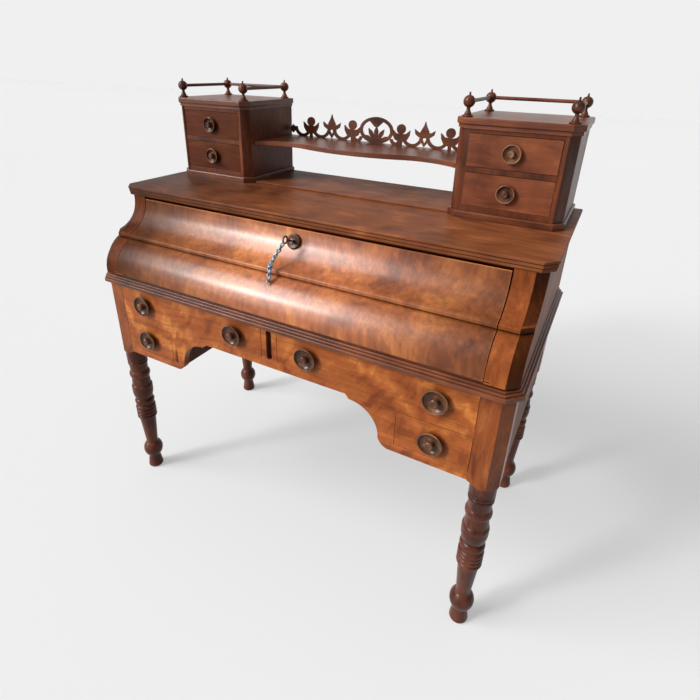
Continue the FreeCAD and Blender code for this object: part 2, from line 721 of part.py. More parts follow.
# Fall front: an ogee facing with a flat writing panel behind it, swinging on two end pivots.
def lid_blank():
    panel_foot = LID_FRONT + size.lid_panel_foot
    panel_head = LID_BOTTOM + size.lid_panel_rise
    profile = [corner(AXIS_Y, LID_BOTTOM, size.lid_nose, -1)] + ogee() + [
        corner(panel_foot + size.lid_panel_rise, panel_head),
        corner(panel_foot, LID_BOTTOM),
    ]
    body = prism("lid_blank", "YZ_Plane", profile, -LID_HALF, LID_HALF)
    for side in (LEFT, RIGHT):
        sliver = [
            corner(side * (LID_HALF - size.lid_gap_low), LID_BOTTOM),
            corner(side * LID_HALF, LID_BOTTOM),
            corner(side * LID_HALF, LID_TOP),
            corner(side * (LID_HALF - size.lid_gap_high), LID_TOP),
        ]
        trim = body.newObject("PartDesign::Pocket", "end_trim")
        trim.Profile = outline(body, "end_gap", "XZ_Plane", sliver)
        trim.Type = "ThroughAll"
        trim.Midplane = True
    return body


def panel_slab():
    """The slanting layer of the fall front that its inner panel fills."""
    diagonal = root(sized(2))
    reach = size.lid_panel_thickness
    length = size.lid_panel_rise * diagonal + 2 * reach
    layer = board("panel_layer", (-LID_HALF, LID_HALF), (ZERO, length), (ZERO, reach))
    turn(layer, Vector(1, 0, 0), 45)
    shift = reach / diagonal
    place(layer, -LID_HALF, LID_FRONT + size.lid_panel_foot - shift, LID_BOTTOM - shift)
    return layer


def at_lock(item):
    """Moves a piece drawn about the keyhole, key axis upwards, to its place in the cove."""
    turn(item, Vector(1, 0, 0), KEY_TILT)
    place(item, ZERO, KEY_Y, KEY_Z)
    return item


def rod_between(name, radius, low, high):
    piece = rod(name, radius, high - low)
    place(piece, ZERO, ZERO, low)
    return piece


def lock_space():
    bore = rod_between("key_hole", size.key_bore, -size.lock_face, size.lock_face)
    slit_reach = (-size.bit_reach - size.bit_play, ZERO)
    slit = board("key_slit", BIT_SLIT, slit_reach, (-size.lock_face, size.lock_face))
    mortise = board("lock_mortise", LOCK_WIDTH, (-size.lock_low, size.lock_opening), LOCK_DEPTH)
    return at_lock(fused("lock_space", [bore, slit, mortise]))


def pivots():
    pieces = []
    for side in (LEFT, RIGHT):
        pin = rod("pivot", size.pivot_radius, size.pivot_length)
        turn(pin, Vector(0, 1, 0), 90)
        inner = LID_HALF + size.pivot_reach - size.pivot_length - size.pivot_clearance
        place(pin, inner if side == RIGHT else -inner - size.pivot_length, AXIS_Y, AXIS_Z)
        pieces.append(pin)
    return group("pivot_pins", pieces)


def fall_front():
    blank = lid_blank()
    layer = panel_slab()
    pins = pivots()
    panel = doc.addObject("Part::Common", "panel")
    panel.Base = blank
    panel.Tool = layer
    facing = cut("facing", cut("facing_blank", blank, layer), group("lid_cuts", [lock_space(), pins]))
    node("lid_facing", facing)
    node("lid_panel", panel)
    node("lid_pivots", pins)


def keeper_rail():
    front = LID_FRONT + size.keeper_front
    foot = LID_BOTTOM + size.keeper_rise
    profile = [
        corner(front, TOP_BOTTOM),
        corner(front + size.keeper_face_run, foot),
        corner(LID_FRONT + size.keeper_back, foot),
        corner(LID_FRONT + size.keeper_back, TOP_BOTTOM),
    ]
    rail = prism("keeper", "YZ_Plane", profile, -LID_HALF, LID_HALF)
    hole = board("bolt_hole", bolt_span(size.bolt_half_width), (ZERO, size.lock_opening), bolt_depth())
    node("keeper_rail", cut("mortised_keeper", rail, at_lock(group("bolt_mortise", [hole]))))


# Lock, its bolt, the key and its escutcheon, drawn about the keyhole and then set in the cove.
def bolt_span(half):
    return (-half - size.bolt_play, half + size.bolt_play)


def bolt_depth():
    return (-size.bolt_far - size.bolt_play, size.bolt_play - size.bolt_near)


def lock():
    case = board("lock_block", LOCK_WIDTH, (-size.lock_low, size.lock_high), LOCK_DEPTH)
    chamber_floor = -size.lock_face - size.chamber_depth
    chamber = rod_between("chamber", size.chamber_radius, chamber_floor, ZERO)
    low = size.bolt_low - size.bolt_play
    channel = board("channel", bolt_span(size.bolt_half_width), (low, size.lock_opening), bolt_depth())
    node("lock_case", at_lock(cut("hollow_lock", case, fused("lock_hollow", [chamber, channel]))))
    bolt = board("bolt", (-size.bolt_half_width, size.bolt_half_width), (size.bolt_low, size.bolt_high),
                 (-size.bolt_far, -size.bolt_near))
    node("lock_bolt", at_lock(group("bolt_piece", [bolt])))


def escutcheon():
    rim_top = size.escutcheon_seat + size.escutcheon_thickness
    profile = [
        corner(size.key_bore, size.escutcheon_rise),
        corner(size.escutcheon_boss, size.escutcheon_rise),
        corner(size.escutcheon_boss, size.escutcheon_seat),
        corner(size.escutcheon_radius, size.escutcheon_seat),
        corner(size.escutcheon_radius, rim_top - size.escutcheon_rim, size.escutcheon_rim),
        corner(size.escutcheon_radius - size.escutcheon_rim, rim_top),
        corner(size.escutcheon_boss, size.escutcheon_seat + size.escutcheon_dish),
        corner(size.key_bore, size.escutcheon_seat + size.escutcheon_dish),
    ]
    slit = board("plate_slit", BIT_SLIT, (-size.bit_reach - size.bit_play, ZERO), (ZERO, rim_top))
    node("escutcheon", at_lock(cut("pierced_plate", turned("plate", profile), slit)))


def key():
    shank = rod_between("shank", size.key_radius, -size.key_inner, size.key_length)
    collar_top = size.collar_level + size.collar_height
    collar = rod_between("collar", size.collar_radius, size.collar_level, collar_top)
    half_bit = size.bit_thickness / 2
    bit = board("bit", (-half_bit, half_bit), (-size.bit_reach, ZERO),
                (-size.key_inner, size.bit_length - size.key_inner))
    bow = doc.addObject("Part::Torus", "bow")
    bind(bow, "Radius1", size.bow_radius)
    bind(bow, "Radius2", size.bow_wire)
    turn(bow, Vector(0, 1, 0), 90)
    place(bow, ZERO, ZERO, size.key_length + size.bow_radius)
    node("key", at_lock(fused("key_piece", [shank, collar, bit, bow])))


# Route of the key cord: from the bow, over the lip of the fall front, to its loose end.
CORD_ROUTE = [
    (0, -221.5, 939.9), (-10.5, -236.3, 915.8), (-20, -250, 890), (-17.5, -259, 870), (-13.5, -268, 851.5),
]
CORD_BEND_SHARE = 0.45


def key_cord():
    points = [Vector(*point) for point in CORD_ROUTE]
    edges = []
    radii = []
    start = points[0]
    for before, here, after in zip(points, points[1:], points[2:]):
        inward = (before - here).normalize()
        onward = (after - here).normalize()
        half_turn = (math.pi - inward.getAngle(onward)) / 2
        reach = CORD_BEND_SHARE * min((before - here).Length, (after - here).Length)
        radii.append(reach / math.tan(half_turn))
        entry = here + inward * reach
        leave = here + onward * reach
        centre_way = (inward + onward).normalize()
        apex = here + centre_way * radii[-1] * (1 / math.cos(half_turn) - 1)
        edges += [Part.LineSegment(start, entry).toShape(), Part.Arc(entry, apex, leave).toShape()]
        start = leave
    edges.append(Part.LineSegment(start, points[-1]).toShape())
    path = Part.Wire(edges)
    section = Part.Wire(Part.makeCircle(size.cord_radius.value, points[0], points[1] - points[0]))
    tube = path.makePipeShell([section], True, False)
    cord = doc.addObject("Part::Feature", "cord")
    cord.Shape = tube
    share = tube.Volume / (math.pi * size.cord_radius.value ** 2 * path.Length)
    print("cord radii", [round(radius, 1) for radius in radii], "volume share", round(share, 3))
    node("key_cord", cord)


# Pigeonholes at the back of the writing interior.
def pigeonholes():
    depth = (NEST_FRONT, BACK_FACE)
    head = BED_TOP + size.nest_height
    shelf = BED_TOP + size.nest_shelf_height
    thick = size.nest_thickness
    pieces = [board("nest_top", (-NEST_HALF, NEST_HALF), depth, (head, head + thick))]
    for side in (LEFT, RIGHT):
        for place_x in (size.nest_inner, size.nest_middle, NEST_HALF - thick):
            span = on_side(side, place_x, place_x + thick)
            pieces.append(board("nest_upright", span, depth, (BED_TOP, head)))
        inner = size.nest_inner + thick
        span = on_side(side, inner, size.nest_middle)
        pieces.append(board("nest_shelf", span, depth, (shelf, shelf + thick)))
        span = on_side(side, size.nest_middle + thick, NEST_HALF - thick)
        pieces.append(board("nest_shelf", span, depth, (shelf, shelf + thick)))
    node("pigeonholes", group("nest", pieces))


# Top board with a moulded edge of three bands, each set back a little from the one above.
def desk_top():
    top = new_body("top")
    front = FRONT + size.top_front_setback
    levels = [
        TOP_LEVEL,
        TOP_LEVEL - size.top_bead_height,
        TOP_BOTTOM + size.top_foot_height,
        TOP_BOTTOM,
    ]
    inset = ZERO
    for high, low in zip(levels, levels[1:]):
        plan = grown_plan(TOP_HALF, front, TOP_BACK, size.top_cant, -inset)
        slab(top, "top_band", plan, low, high)
        inset = inset + size.top_step
    soften(top, "top_nosing", size.top_round, [TOP_LEVEL])
    soften(top, "top_foot", size.top_foot_round, [TOP_BOTTOM])
    node("desk_top", top)


# Turned knobs: a dished rosette with a raised rim and a small boss in the middle.
KNOB_PROFILE_SHARES = [
    (0, 0), (0.58, 0), (0.62, 0.1), (0.86, 0.3), (0.98, 0.52), (1, 0.6), (0.985, 0.66), (0.94, 0.68),
    (0.9, 0.65), (0.84, 0.5), (0.7, 0.36), (0.5, 0.29), (0.4, 0.31), (0.35, 0.4), (0.33, 0.62), (0.35, 0.8),
    (0.34, 0.92), (0.28, 0.99), (0.22, 1), (0.17, 0.96), (0, 0.96),
]


def knob(radius, projection, x, face, z):
    profile = [corner(across * radius, height * projection) for across, height in KNOB_PROFILE_SHARES]
    body = turned("knob", profile)
    turn(body, Vector(1, 0, 0), 90)
    place(body, x, face, z)
    return body


# Drawers of the lower case: a front, a box of four boards, and turned knobs.
def drawer(label, low_x, high_x, low_z, high_z, knob_places):
    gap = size.drawer_gap
    front_back = FRONT + size.drawer_front
    rear = BACK_FACE - size.drawer_rear_gap
    thick = size.drawer_board
    left = low_x + size.drawer_side_play
    right = high_x - size.drawer_side_play
    height = (low_z + size.drawer_seat, high_z - size.drawer_headroom)
    floor = (low_z + size.drawer_bottom_rise, low_z + size.drawer_bottom_rise + size.drawer_bottom_board)
    z_face = (low_z + gap, high_z - gap)
    middle_z = (low_z + high_z) / 2
    face = lambda: board("drawer_face", (low_x + gap, high_x - gap), (FRONT, front_back), z_face)
    both_sides(label + "_front", face)

    def box():
        return group("drawer_box", [
            board("near_side", (left, left + thick), (front_back, rear), height),
            board("far_side", (right - thick, right), (front_back, rear), height),
            board("drawer_back", (left + thick, right - thick), (rear - thick, rear), height),
            board("drawer_base", (left + thick, right - thick), (front_back, rear - thick), floor),
        ])

    both_sides(label + "_box", box)
    pulls = lambda: group("pulls", [
        knob(size.knob_radius, size.knob_projection, x, FRONT, middle_z) for x in knob_places])
    both_sides(label + "_knobs", pulls)


def case_drawers():
    small_middle = (KNEE_STILE + POST_INNER) / 2
    near_knob = STILE_HALF + POST_INNER - small_middle
    drawer("wide_drawer", STILE_HALF, POST_INNER, MIDDLE_RAIL_TOP, TOP_RAIL_BOTTOM,
           [near_knob, small_middle])
    drawer("small_drawer", KNEE_STILE, POST_INNER, LOWER_RAIL_TOP, MIDDLE_RAIL_BOTTOM,
           [small_middle])


# Pedestals of two drawers on the top board.
def pedestal_slab(name, low, high, margin):
    body = new_body(name)
    plan = canted_plan(PEDESTAL_INNER - margin, PEDESTAL_OUTER + margin,
                       PEDESTAL_FRONT - margin, PEDESTAL_BACK, size.pedestal_cant + margin / 2)
    slab(body, name + "_plan", plan, low, high)
    return body


def plinth():
    body = pedestal_slab("plinth", TOP_LEVEL, TOP_LEVEL + size.plinth_height, size.plinth_overhang)
    soften(body, "plinth_round", size.plinth_round, [TOP_LEVEL + size.plinth_height])
    return body


def cornice():
    step = CORNICE_BOTTOM + size.cornice_step
    low = pedestal_slab("cornice_low", CORNICE_BOTTOM, step, size.cornice_low_overhang)
    high = pedestal_slab("cornice_high", step, CORNICE_TOP, size.cornice_overhang)
    soften(high, "cornice_round", size.cornice_round, [step, CORNICE_TOP])
    return fused("cornice", [low, high])


def pedestal_case():
    inner, outer = PEDESTAL_INNER, PEDESTAL_OUTER
    front, back = PEDESTAL_FRONT, PEDESTAL_BACK
    cant, wall = size.pedestal_cant, size.pedestal_wall
    low, high = TOP_LEVEL + size.plinth_height, CORNICE_BOTTOM
    near, far = PEDESTAL_MIDDLE - size.pedestal_opening_half, PEDESTAL_MIDDLE + size.pedestal_opening_half
    post_back = front + cant
    back_face = back - size.pedestal_drawer_board
    near_post = [
        corner(inner, post_back),
        corner(inner + cant, front),
        corner(near, front),
        corner(near, post_back),
    ]
    far_post = [
        corner(far, post_back),
        corner(far, front),
        corner(outer - cant, front),
        corner(outer, post_back),
    ]
    pieces = [
        prism("near_post", "XY_Plane", near_post, low, high),
        prism("far_post", "XY_Plane", far_post, low, high),
        board("near_wall", (inner, inner + wall), (post_back, back), (low, high)),
        board("far_wall", (outer - wall, outer), (post_back, back), (low, high)),
        board("pedestal_rear", (inner + wall, outer - wall), (back_face, back), (low, high)),
    ]
    layers = [(low, LOWER_OPENING_BOTTOM), (LOWER_OPENING_TOP, UPPER_OPENING_BOTTOM),
              (UPPER_OPENING_TOP, high)]
    for level in layers:
        pieces.append(board("division_edge", (near, far), (front, post_back), level))
        pieces.append(board("division", (inner + wall, outer - wall), (post_back, back_face), level))
    for floor in (LOWER_OPENING_BOTTOM, UPPER_OPENING_BOTTOM):
        height = (floor, floor + size.pedestal_guide)
        pieces.append(board("near_guide", (inner + wall, near), (post_back, back_face), height))
        pieces.append(board("far_guide", (far, outer - wall), (post_back, back_face), height))
    return group("pedestal_boards", pieces)


def pedestal_drawer(label, low_z, high_z):
    gap = size.drawer_gap
    low_x = PEDESTAL_MIDDLE - size.pedestal_opening_half
    high_x = PEDESTAL_MIDDLE + size.pedestal_opening_half
    front_back = PEDESTAL_FRONT + size.pedestal_drawer_front
    rear = PEDESTAL_BACK - size.pedestal_drawer_board - size.pedestal_drawer_gap
    thick = size.pedestal_drawer_board
    left = low_x + size.drawer_side_play
    right = high_x - size.drawer_side_play
    height = (low_z + size.drawer_seat, high_z - size.drawer_headroom)
    floor = (low_z + size.drawer_bottom_rise, low_z + size.drawer_bottom_rise + size.drawer_bottom_board)

    def whole():
        return group("pedestal_drawer", [
            board("small_face", (low_x + gap, high_x - gap), (PEDESTAL_FRONT, front_back),
                  (low_z + gap, high_z - gap)),
            board("near_side", (left, left + thick), (front_back, rear), height),
            board("far_side", (right - thick, right), (front_back, rear), height),
            board("drawer_back", (left + thick, right - thick), (rear - thick, rear), height),
            board("drawer_base", (left + thick, right - thick), (front_back, rear - thick), floor),
        ])

    both_sides(label, whole)
    middle_z = (low_z + high_z) / 2
    both_sides(label + "_knob", lambda: knob(
        size.small_knob_radius, size.small_knob_projection, PEDESTAL_MIDDLE, PEDESTAL_FRONT, middle_z))


def pedestals():
    pair("pedestal_plinths", plinth)
    both_sides("pedestal_case", pedestal_case)
    pair("pedestal_cornices", cornice)
    pedestal_drawer("lower_pedestal_drawer", LOWER_OPENING_BOTTOM, LOWER_OPENING_TOP)
    pedestal_drawer("upper_pedestal_drawer", UPPER_OPENING_BOTTOM, UPPER_OPENING_TOP)


# Turned posts and rails round three sides of each pedestal's top.
def finial(x, y):
    neck = size.finial_neck
    ball = size.finial_ball
    spike = size.finial_spike
    seat = root(ball * ball - neck * neck)
    crown = root(ball * ball - spike * spike)
    body = turned("finial", [
        corner(0, 0),
        corner(size.finial_base, 0, size.finial_base_curve),
        corner(size.finial_base, size.finial_base_height),
        corner(size.finial_collar, size.finial_base_height),
        corner(size.finial_collar, size.finial_collar_level),
        corner(neck, size.finial_neck_level),
        corner(neck, size.finial_ball_level - seat, ball),
        corner(ball, size.finial_ball_level, ball),
        corner(spike, size.finial_ball_level + crown),
        corner(size.finial_tip, size.finial_height),
        corner(0, size.finial_height),
    ])
    place(body, x, y, CORNICE_TOP)
    return body


def gallery():
    level = CORNICE_TOP + size.finial_ball_level
    posts = []
    rails = []
    near = PEDESTAL_INNER + size.gallery_inner_inset
    far = PEDESTAL_OUTER - size.gallery_outer_inset
    ends = (PEDESTAL_FRONT + size.gallery_front_inset, PEDESTAL_BACK - size.gallery_rear_inset)
    seat = root(size.finial_ball * size.finial_ball - size.gallery_rail * size.gallery_rail)
    for side in (LEFT, RIGHT):
        for x in (side * near, side * far):
            posts += [finial(x, y) for y in ends]
            rail = rod("side_rail", size.gallery_rail, ends[1] - ends[0] - 2 * seat)
            turn(rail, Vector(1, 0, 0), -90)
            place(rail, x, ends[0] + seat, level)
            rails.append(rail)
        span = on_side(side, near, far)
        rail = rod("back_rail", size.gallery_rail, span[1] - span[0] - 2 * seat)
        turn(rail, Vector(0, 1, 0), 90)
        place(rail, span[0] + seat, ends[1], level)
        rails.append(rail)
    node("gallery_posts", group("posts", posts))
    node("gallery_rails", group("gallery_bars", rails))


# Shelf with a serpentine front between the pedestals, and the thin board under it.
def shelf():
    reach = PEDESTAL_INNER
    end = PEDESTAL_FRONT + size.shelf_end_setback
    turn_in = PEDESTAL_FRONT + size.shelf_break_setback
    plan = [
        corner(-reach, PEDESTAL_BACK),
        corner(-reach, end, size.shelf_hollow, -1),
        corner(-size.shelf_break, turn_in, size.shelf_bow, 1),
        corner(size.shelf_break, turn_in, size.shelf_hollow, -1),
        corner(reach, end),
        corner(reach, PEDESTAL_BACK),
    ]
    node("shelf", prism("shelf_board", "XY_Plane", plan, SHELF_BOTTOM, SHELF_TOP))
    inner = PEDESTAL_INNER - size.plinth_overhang
    base_depth = (PEDESTAL_FRONT + size.base_board_setback, PEDESTAL_BACK)
    level = (TOP_LEVEL, TOP_LEVEL + size.base_board_thickness)
    node("gallery_base", board("base_board", (-inner, inner), base_depth, level))


# Pierced cresting: places across and widths are shares of its half width, levels of its height.
FRET_BOWL_SHARES = [(0.205, 0.0577), (0.375, 0.1106), (0.625, 0.1142), (0.845, 0.0986)]
FRET_LOBE_SHARES = [(0.26, 0.62), (0.744, 0.62)]
FRET_SPIRE_SHARES = [0.497]
FRET_END_SHARES = [(0.965, 0.038, 0.1, 0.45)]
FRET_SHELL_SHARE = 0.178
# A motif's reach across, and its outline about its foot in shares of that reach and of the height.
FRET_REACH_SHARE = 0.24
SPIRE_SHARES = [
    (0, 0.97), (0.045, 0.82), (0.17, 0.60), (0.12, 0.36), (-0.12, 0.36), (-0.17, 0.60), (-0.045, 0.82),
]
EYE_SHARES = [(0, 0.62), (0.22, 0.32), (0, 0.02), (-0.22, 0.32)]
EYE_HOLE_SHARES = [(0, 0.44), (0.09, 0.31), (0, 0.16), (-0.09, 0.31)]
BEAK_SHARES = [(0.08, 0.36), (0.10, 0.56), (0.26, 0.56), (0.42, 0.66), (0.38, 0.48), (0.24, 0.38)]
BARB_SHARES = [(0.04, 0.12), (0.08, 0.44), (0.22, 0.46), (0.38, 0.60), (0.36, 0.40), (0.26, 0.22)]
CROWN_SHARES = [
    (-0.36, 0.88), (-0.2, 0.95), (0.2, 0.95), (0.36, 0.88),
    (0.22, 0.76), (0.07, 0.62), (-0.07, 0.62), (-0.22, 0.76),
]
PETAL_SHARES = [(0, 0), (0.075, 0.25), (0.085, 0.46), (0, 0.66), (-0.085, 0.46), (-0.075, 0.25)]
# Turns of the shell's petals, in degrees from upright.
PETAL_TURNS = [-64, -32, 0, 32, 64]


def fret():
    thick = size.fret_thickness.value
    band = size.fret_band.value
    half = PEDESTAL_INNER.value - size.fret_end_gap.value
    reach = half * FRET_REACH_SHARE
    height = size.fret_height.value
    face = PEDESTAL_BACK.value - size.fret_setback.value
    floor = SHELF_TOP.value
    forward = Vector(0, -1, 0)

    def spot(across, up):
        return Vector(across, face, floor + up)

    def ring(across, up, radius):
        outer = Part.makeCylinder(radius, thick, spot(across, up), forward)
        return outer.cut(Part.makeCylinder(radius - band, thick, spot(across, up), forward))

    def block(low_x, high_x, low_z, high_z):
        return Part.makeBox(high_x - low_x, thick, high_z - low_z, Vector(low_x, face - thick, floor + low_z))

    def plate(places):
        points = [spot(*place) for place in places]
        return Part.Face(Part.makePolygon(points + points[:1])).extrude(forward * thick)

    def motif(across, side, shares):
        return plate([(across + side * step * reach, up * height) for step, up in shares])

    def petal(degrees):
        angle = math.radians(degrees)
        return plate([
            ((step * math.cos(angle) + up * math.sin(angle)) * reach,
             (up * math.cos(angle) - step * math.sin(angle)) * height)
            for step, up in PETAL_SHARES
        ])

    def leaf(across, low, high, spread):
        middle = (low + high) / 2
        return plate([(across, low), (across + spread, middle), (across, high), (across - spread, middle)])

    sunk = size.fret_sink.value
    oval = (height + sunk) / 2

    def disc(wide, tall):
        centre = spot(0, oval - sunk)
        ends = sorted([Vector(wide, 0, 0), Vector(0, 0, tall)], key=lambda end: -end.Length)
        curve = Part.Ellipse(centre + ends[0], centre + ends[1], centre)
        return Part.Face(Part.Wire(curve.toShape())).extrude(forward * thick)

    shell = FRET_SHELL_SHARE * half
    pieces = [disc(shell, oval).cut(disc(shell - band, oval - band)), motif(0, RIGHT, CROWN_SHARES)]
    pieces += [petal(degrees) for degrees in PETAL_TURNS]
    for side in (LEFT, RIGHT):
        for across, wide in FRET_BOWL_SHARES:
            radius = wide * half
            bowl = ring(side * across * half, radius - sunk, radius)
            pieces.append(bowl.common(block(-half, half, -sunk, radius - sunk)))
        for across, up in FRET_LOBE_SHARES:
            centre = side * across * half
            pieces.append(Part.makeCylinder(size.fret_lobe.value, thick, spot(centre, up * height), forward))
            pieces.append(block(centre - band / 2, centre + band / 2, 0, up * height))
            pieces += [motif(centre, way, BARB_SHARES) for way in (LEFT, RIGHT)]
        for across in FRET_SPIRE_SHARES:
            centre = side * across * half
            pieces.append(motif(centre, RIGHT, SPIRE_SHARES))
            pieces.append(motif(centre, RIGHT, EYE_SHARES).cut(motif(centre, RIGHT, EYE_HOLE_SHARES)))
            pieces += [motif(centre, way, BEAK_SHARES) for way in (LEFT, RIGHT)]
        for across, wide, low, high in FRET_END_SHARES:
            pieces.append(leaf(side * across * half, low * height, high * height, wide * half))
    whole = pieces[0].multiFuse(pieces[1:]).common(block(-half, half, 0, height)).removeSplitter()
    cresting = doc.addObject("Part::Feature", "cresting")
    cresting.Shape = whole
    node("fret_gallery", cresting)


legs()
carcase()
front_rails()
centre_stile()
knee_brackets()
runners()
loper_and_guide()
writing_bed()
waist_moulding()
upper_case()
fall_front()
keeper_rail()
lock()
escutcheon()
key()
key_cord()
pigeonholes()
desk_top()
case_drawers()
pedestals()
gallery()
shelf()
fret()
doc.recompute()

# Every object has to be sound before any file is written.
failed = [item.Label for item in doc.Objects if {"Invalid", "Error"} & set(item.State)]
unsound = [item.Label for item in nodes if item.Shape.isNull() or not item.Shape.isValid()]
if failed or unsound:
    raise SystemExit(f"failed objects {failed}, unsound shapes {unsound}")
os.makedirs("parts", exist_ok=True)
for item in nodes:
    item.Shape.exportStep(f"parts/{item.Label}.step")
print(len(nodes), "nodes")
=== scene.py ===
import math
from collections import namedtuple

import bpy
from mathutils import Matrix, Vector


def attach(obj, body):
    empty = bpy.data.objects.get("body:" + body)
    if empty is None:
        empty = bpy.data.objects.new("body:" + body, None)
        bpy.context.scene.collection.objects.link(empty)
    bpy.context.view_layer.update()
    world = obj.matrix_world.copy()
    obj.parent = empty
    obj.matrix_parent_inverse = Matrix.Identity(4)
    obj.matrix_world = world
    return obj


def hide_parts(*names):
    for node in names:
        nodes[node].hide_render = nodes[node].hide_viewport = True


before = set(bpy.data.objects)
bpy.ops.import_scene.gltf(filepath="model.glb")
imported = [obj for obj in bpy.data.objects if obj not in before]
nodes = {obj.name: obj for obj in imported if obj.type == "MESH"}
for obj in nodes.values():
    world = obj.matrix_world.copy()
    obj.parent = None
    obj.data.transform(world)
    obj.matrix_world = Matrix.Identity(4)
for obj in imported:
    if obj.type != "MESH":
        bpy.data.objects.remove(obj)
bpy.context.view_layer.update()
scene = bpy.context.scene
scene.view_settings.view_transform = "Standard"

# Camera at the photograph's viewpoint: metres, degrees, millimetres of lens, shares of the picture.
CAMERA_AT = Vector((0.6728, -1.1622, 1.3399))
CAMERA_YAW = 28.06
CAMERA_PITCH = -25.61
CAMERA_ROLL = 1.46
CAMERA_SENSOR = 36
CAMERA_LENS = 25.44
CAMERA_SHIFT = (0.0095, -0.0702)


def place_camera():
    yaw, pitch, roll = (math.radians(a) for a in (CAMERA_YAW, CAMERA_PITCH, CAMERA_ROLL))
    ahead = Vector((-math.sin(yaw) * math.cos(pitch), math.cos(yaw) * math.cos(pitch), math.sin(pitch)))
    level = ahead.cross(Vector((0, 0, 1))).normalized()
    over = level.cross(ahead)
    right = level * math.cos(roll) + over * math.sin(roll)
    up = over * math.cos(roll) - level * math.sin(roll)
    data = bpy.data.cameras.new("photo_camera")
    data.sensor_width = CAMERA_SENSOR
    data.lens = CAMERA_LENS
    data.shift_x, data.shift_y = CAMERA_SHIFT
    camera = bpy.data.objects.new("photo_camera", data)
    turn = Matrix((right, up, -ahead)).transposed().to_4x4()
    camera.matrix_world = Matrix.Translation(CAMERA_AT) @ turn
    scene.collection.objects.link(camera)
    scene.camera = camera


# The sockets of a Mix node that take and give colours.
MIX_FACTOR, MIX_FIRST, MIX_SECOND, MIX_RESULT = 0, 6, 7, 2


class Graph:
    """A node tree, filled by calls that return the new node or the output that carries its result."""

    def __init__(self, tree):
        self.tree = tree
        tree.nodes.clear()

    def node(self, kind, inputs=(), **settings):
        made = self.tree.nodes.new("ShaderNode" + kind)
        for name, value in settings.items():
            setattr(made, name, value)
        for key, value in dict(inputs).items():
            self.feed(made.inputs[key], value)
        return made

    def feed(self, socket, value):
        if isinstance(value, bpy.types.NodeSocket):
            self.tree.links.new(value, socket)
        else:
            socket.default_value = value

    def math(self, operation, *values, clamp=False):
        return self.node("Math", enumerate(values), operation=operation, use_clamp=clamp).outputs[0]

    def vector(self, operation, *values):
        return self.node("VectorMath", enumerate(values), operation=operation).outputs[0]

    def along(self, vector, axis):
        return self.node("SeparateXYZ", {0: vector}).outputs[axis]

    def noise(self, vector, scale, stretch=None, detail=2.0, roughness=0.5, distortion=0.0):
        if stretch:
            vector = self.vector("MULTIPLY", vector, stretch)
        inputs = {"Vector": vector, "Scale": scale, "Detail": detail, "Roughness": roughness,
                  "Distortion": distortion}
        return self.node("TexNoise", inputs).outputs[0]

    def ramp(self, value, stops, interpolation="LINEAR"):
        made = self.node("ValToRGB", {0: value})
        made.color_ramp.interpolation = interpolation
        elements = made.color_ramp.elements
        while len(elements) < len(stops):
            elements.new(0.5)
        for element, (at, colour) in zip(elements, stops):
            element.position = at
            element.color = (*colour, 1.0)
        return made.outputs[0]

    def span(self, value, low, high, to_low=0.0, to_high=1.0):
        inputs = {0: value, 1: low, 2: high, 3: to_low, 4: to_high}
        return self.node("MapRange", inputs, clamp=True).outputs[0]

    def blend(self, first, second, share):
        """Two numbers, of which the second has a share."""
        return self.math("ADD", self.math("MULTIPLY", first, 1.0 - share),
                         self.math("MULTIPLY", second, share))

    def mix(self, factor, first, second, blend="MIX"):
        made = self.node("Mix", data_type="RGBA", blend_type=blend, clamp_factor=True)
        self.feed(made.inputs[MIX_FACTOR], factor)
        for index, colour in ((MIX_FIRST, first), (MIX_SECOND, second)):
            if isinstance(colour, bpy.types.NodeSocket):
                self.feed(made.inputs[index], colour)
            else:
                made.inputs[index].default_value = (*colour, 1.0)
        return made.outputs[MIX_RESULT]

    def scaled(self, colour, share):
        """A colour times a number that varies over the surface."""
        shade = self.node("CombineColor", {0: share, 1: share, 2: share}).outputs[0]
        return self.mix(1.0, colour, shade, "MULTIPLY")


def new_material(name):
    material = bpy.data.materials.new(name)
    material.use_nodes = True
    return material, Graph(material.node_tree)


def finish_shader(graph, colour, roughness, relief, relief_depth, values):
    shader = graph.node("BsdfPrincipled")
    graph.feed(shader.inputs["Base Color"], colour)
    graph.feed(shader.inputs["Roughness"], roughness)
    for name, value in values.items():
        graph.feed(shader.inputs[name], value)
    bump = graph.node("Bump", {"Strength": 1.0, "Distance": relief_depth, "Height": relief})
    graph.feed(shader.inputs["Normal"], bump.outputs[0])
    output = graph.node("OutputMaterial")
    graph.feed(output.inputs["Surface"], shader.outputs[0])


# Turns that lay a wood's grain, which runs along the texture's X, along an axis of the object.
GRAIN_TURN = {
    "X": (0.0, 0.0, 0.0),
    "Y": (0.0, 0.0, -math.pi / 2),
    "Z": (0.0, math.pi / 2, 0.0),
}

# The wood's textures, stretched along the grain. Each wood has its own place in them, set by its seed.
CLOUDS = {"stretch": (0.55, 1.0, 1.0), "detail": 6.0, "roughness": 0.62, "distortion": 0.6}
FLAME = {"stretch": (0.22, 1.0, 1.0), "detail": 6.0, "roughness": 0.66, "distortion": 1.1}
LINES = {"scale": 80.0, "stretch": (0.035, 1.0, 1.0), "detail": 5.0, "roughness": 0.7}
PORES = {"scale": 620.0, "stretch": (0.045, 1.0, 1.0), "detail": 1.0}
FAN = {"Distortion": 9.0, "Detail": 4.0, "Detail Scale": 1.3, "Detail Roughness": 0.66}
FAN_STRETCH = (0.45, 1.0, 1.0)
FAN_RANGE = (0.30, 0.70)
BEND = {"Scale": 3.1, "Detail": 2.0}
BEND_REACH = (0.16, 0.10, 0.10)
SEED_STEPS = (1.0, 0.7, 1.3)
NOISE_MEAN = 0.5

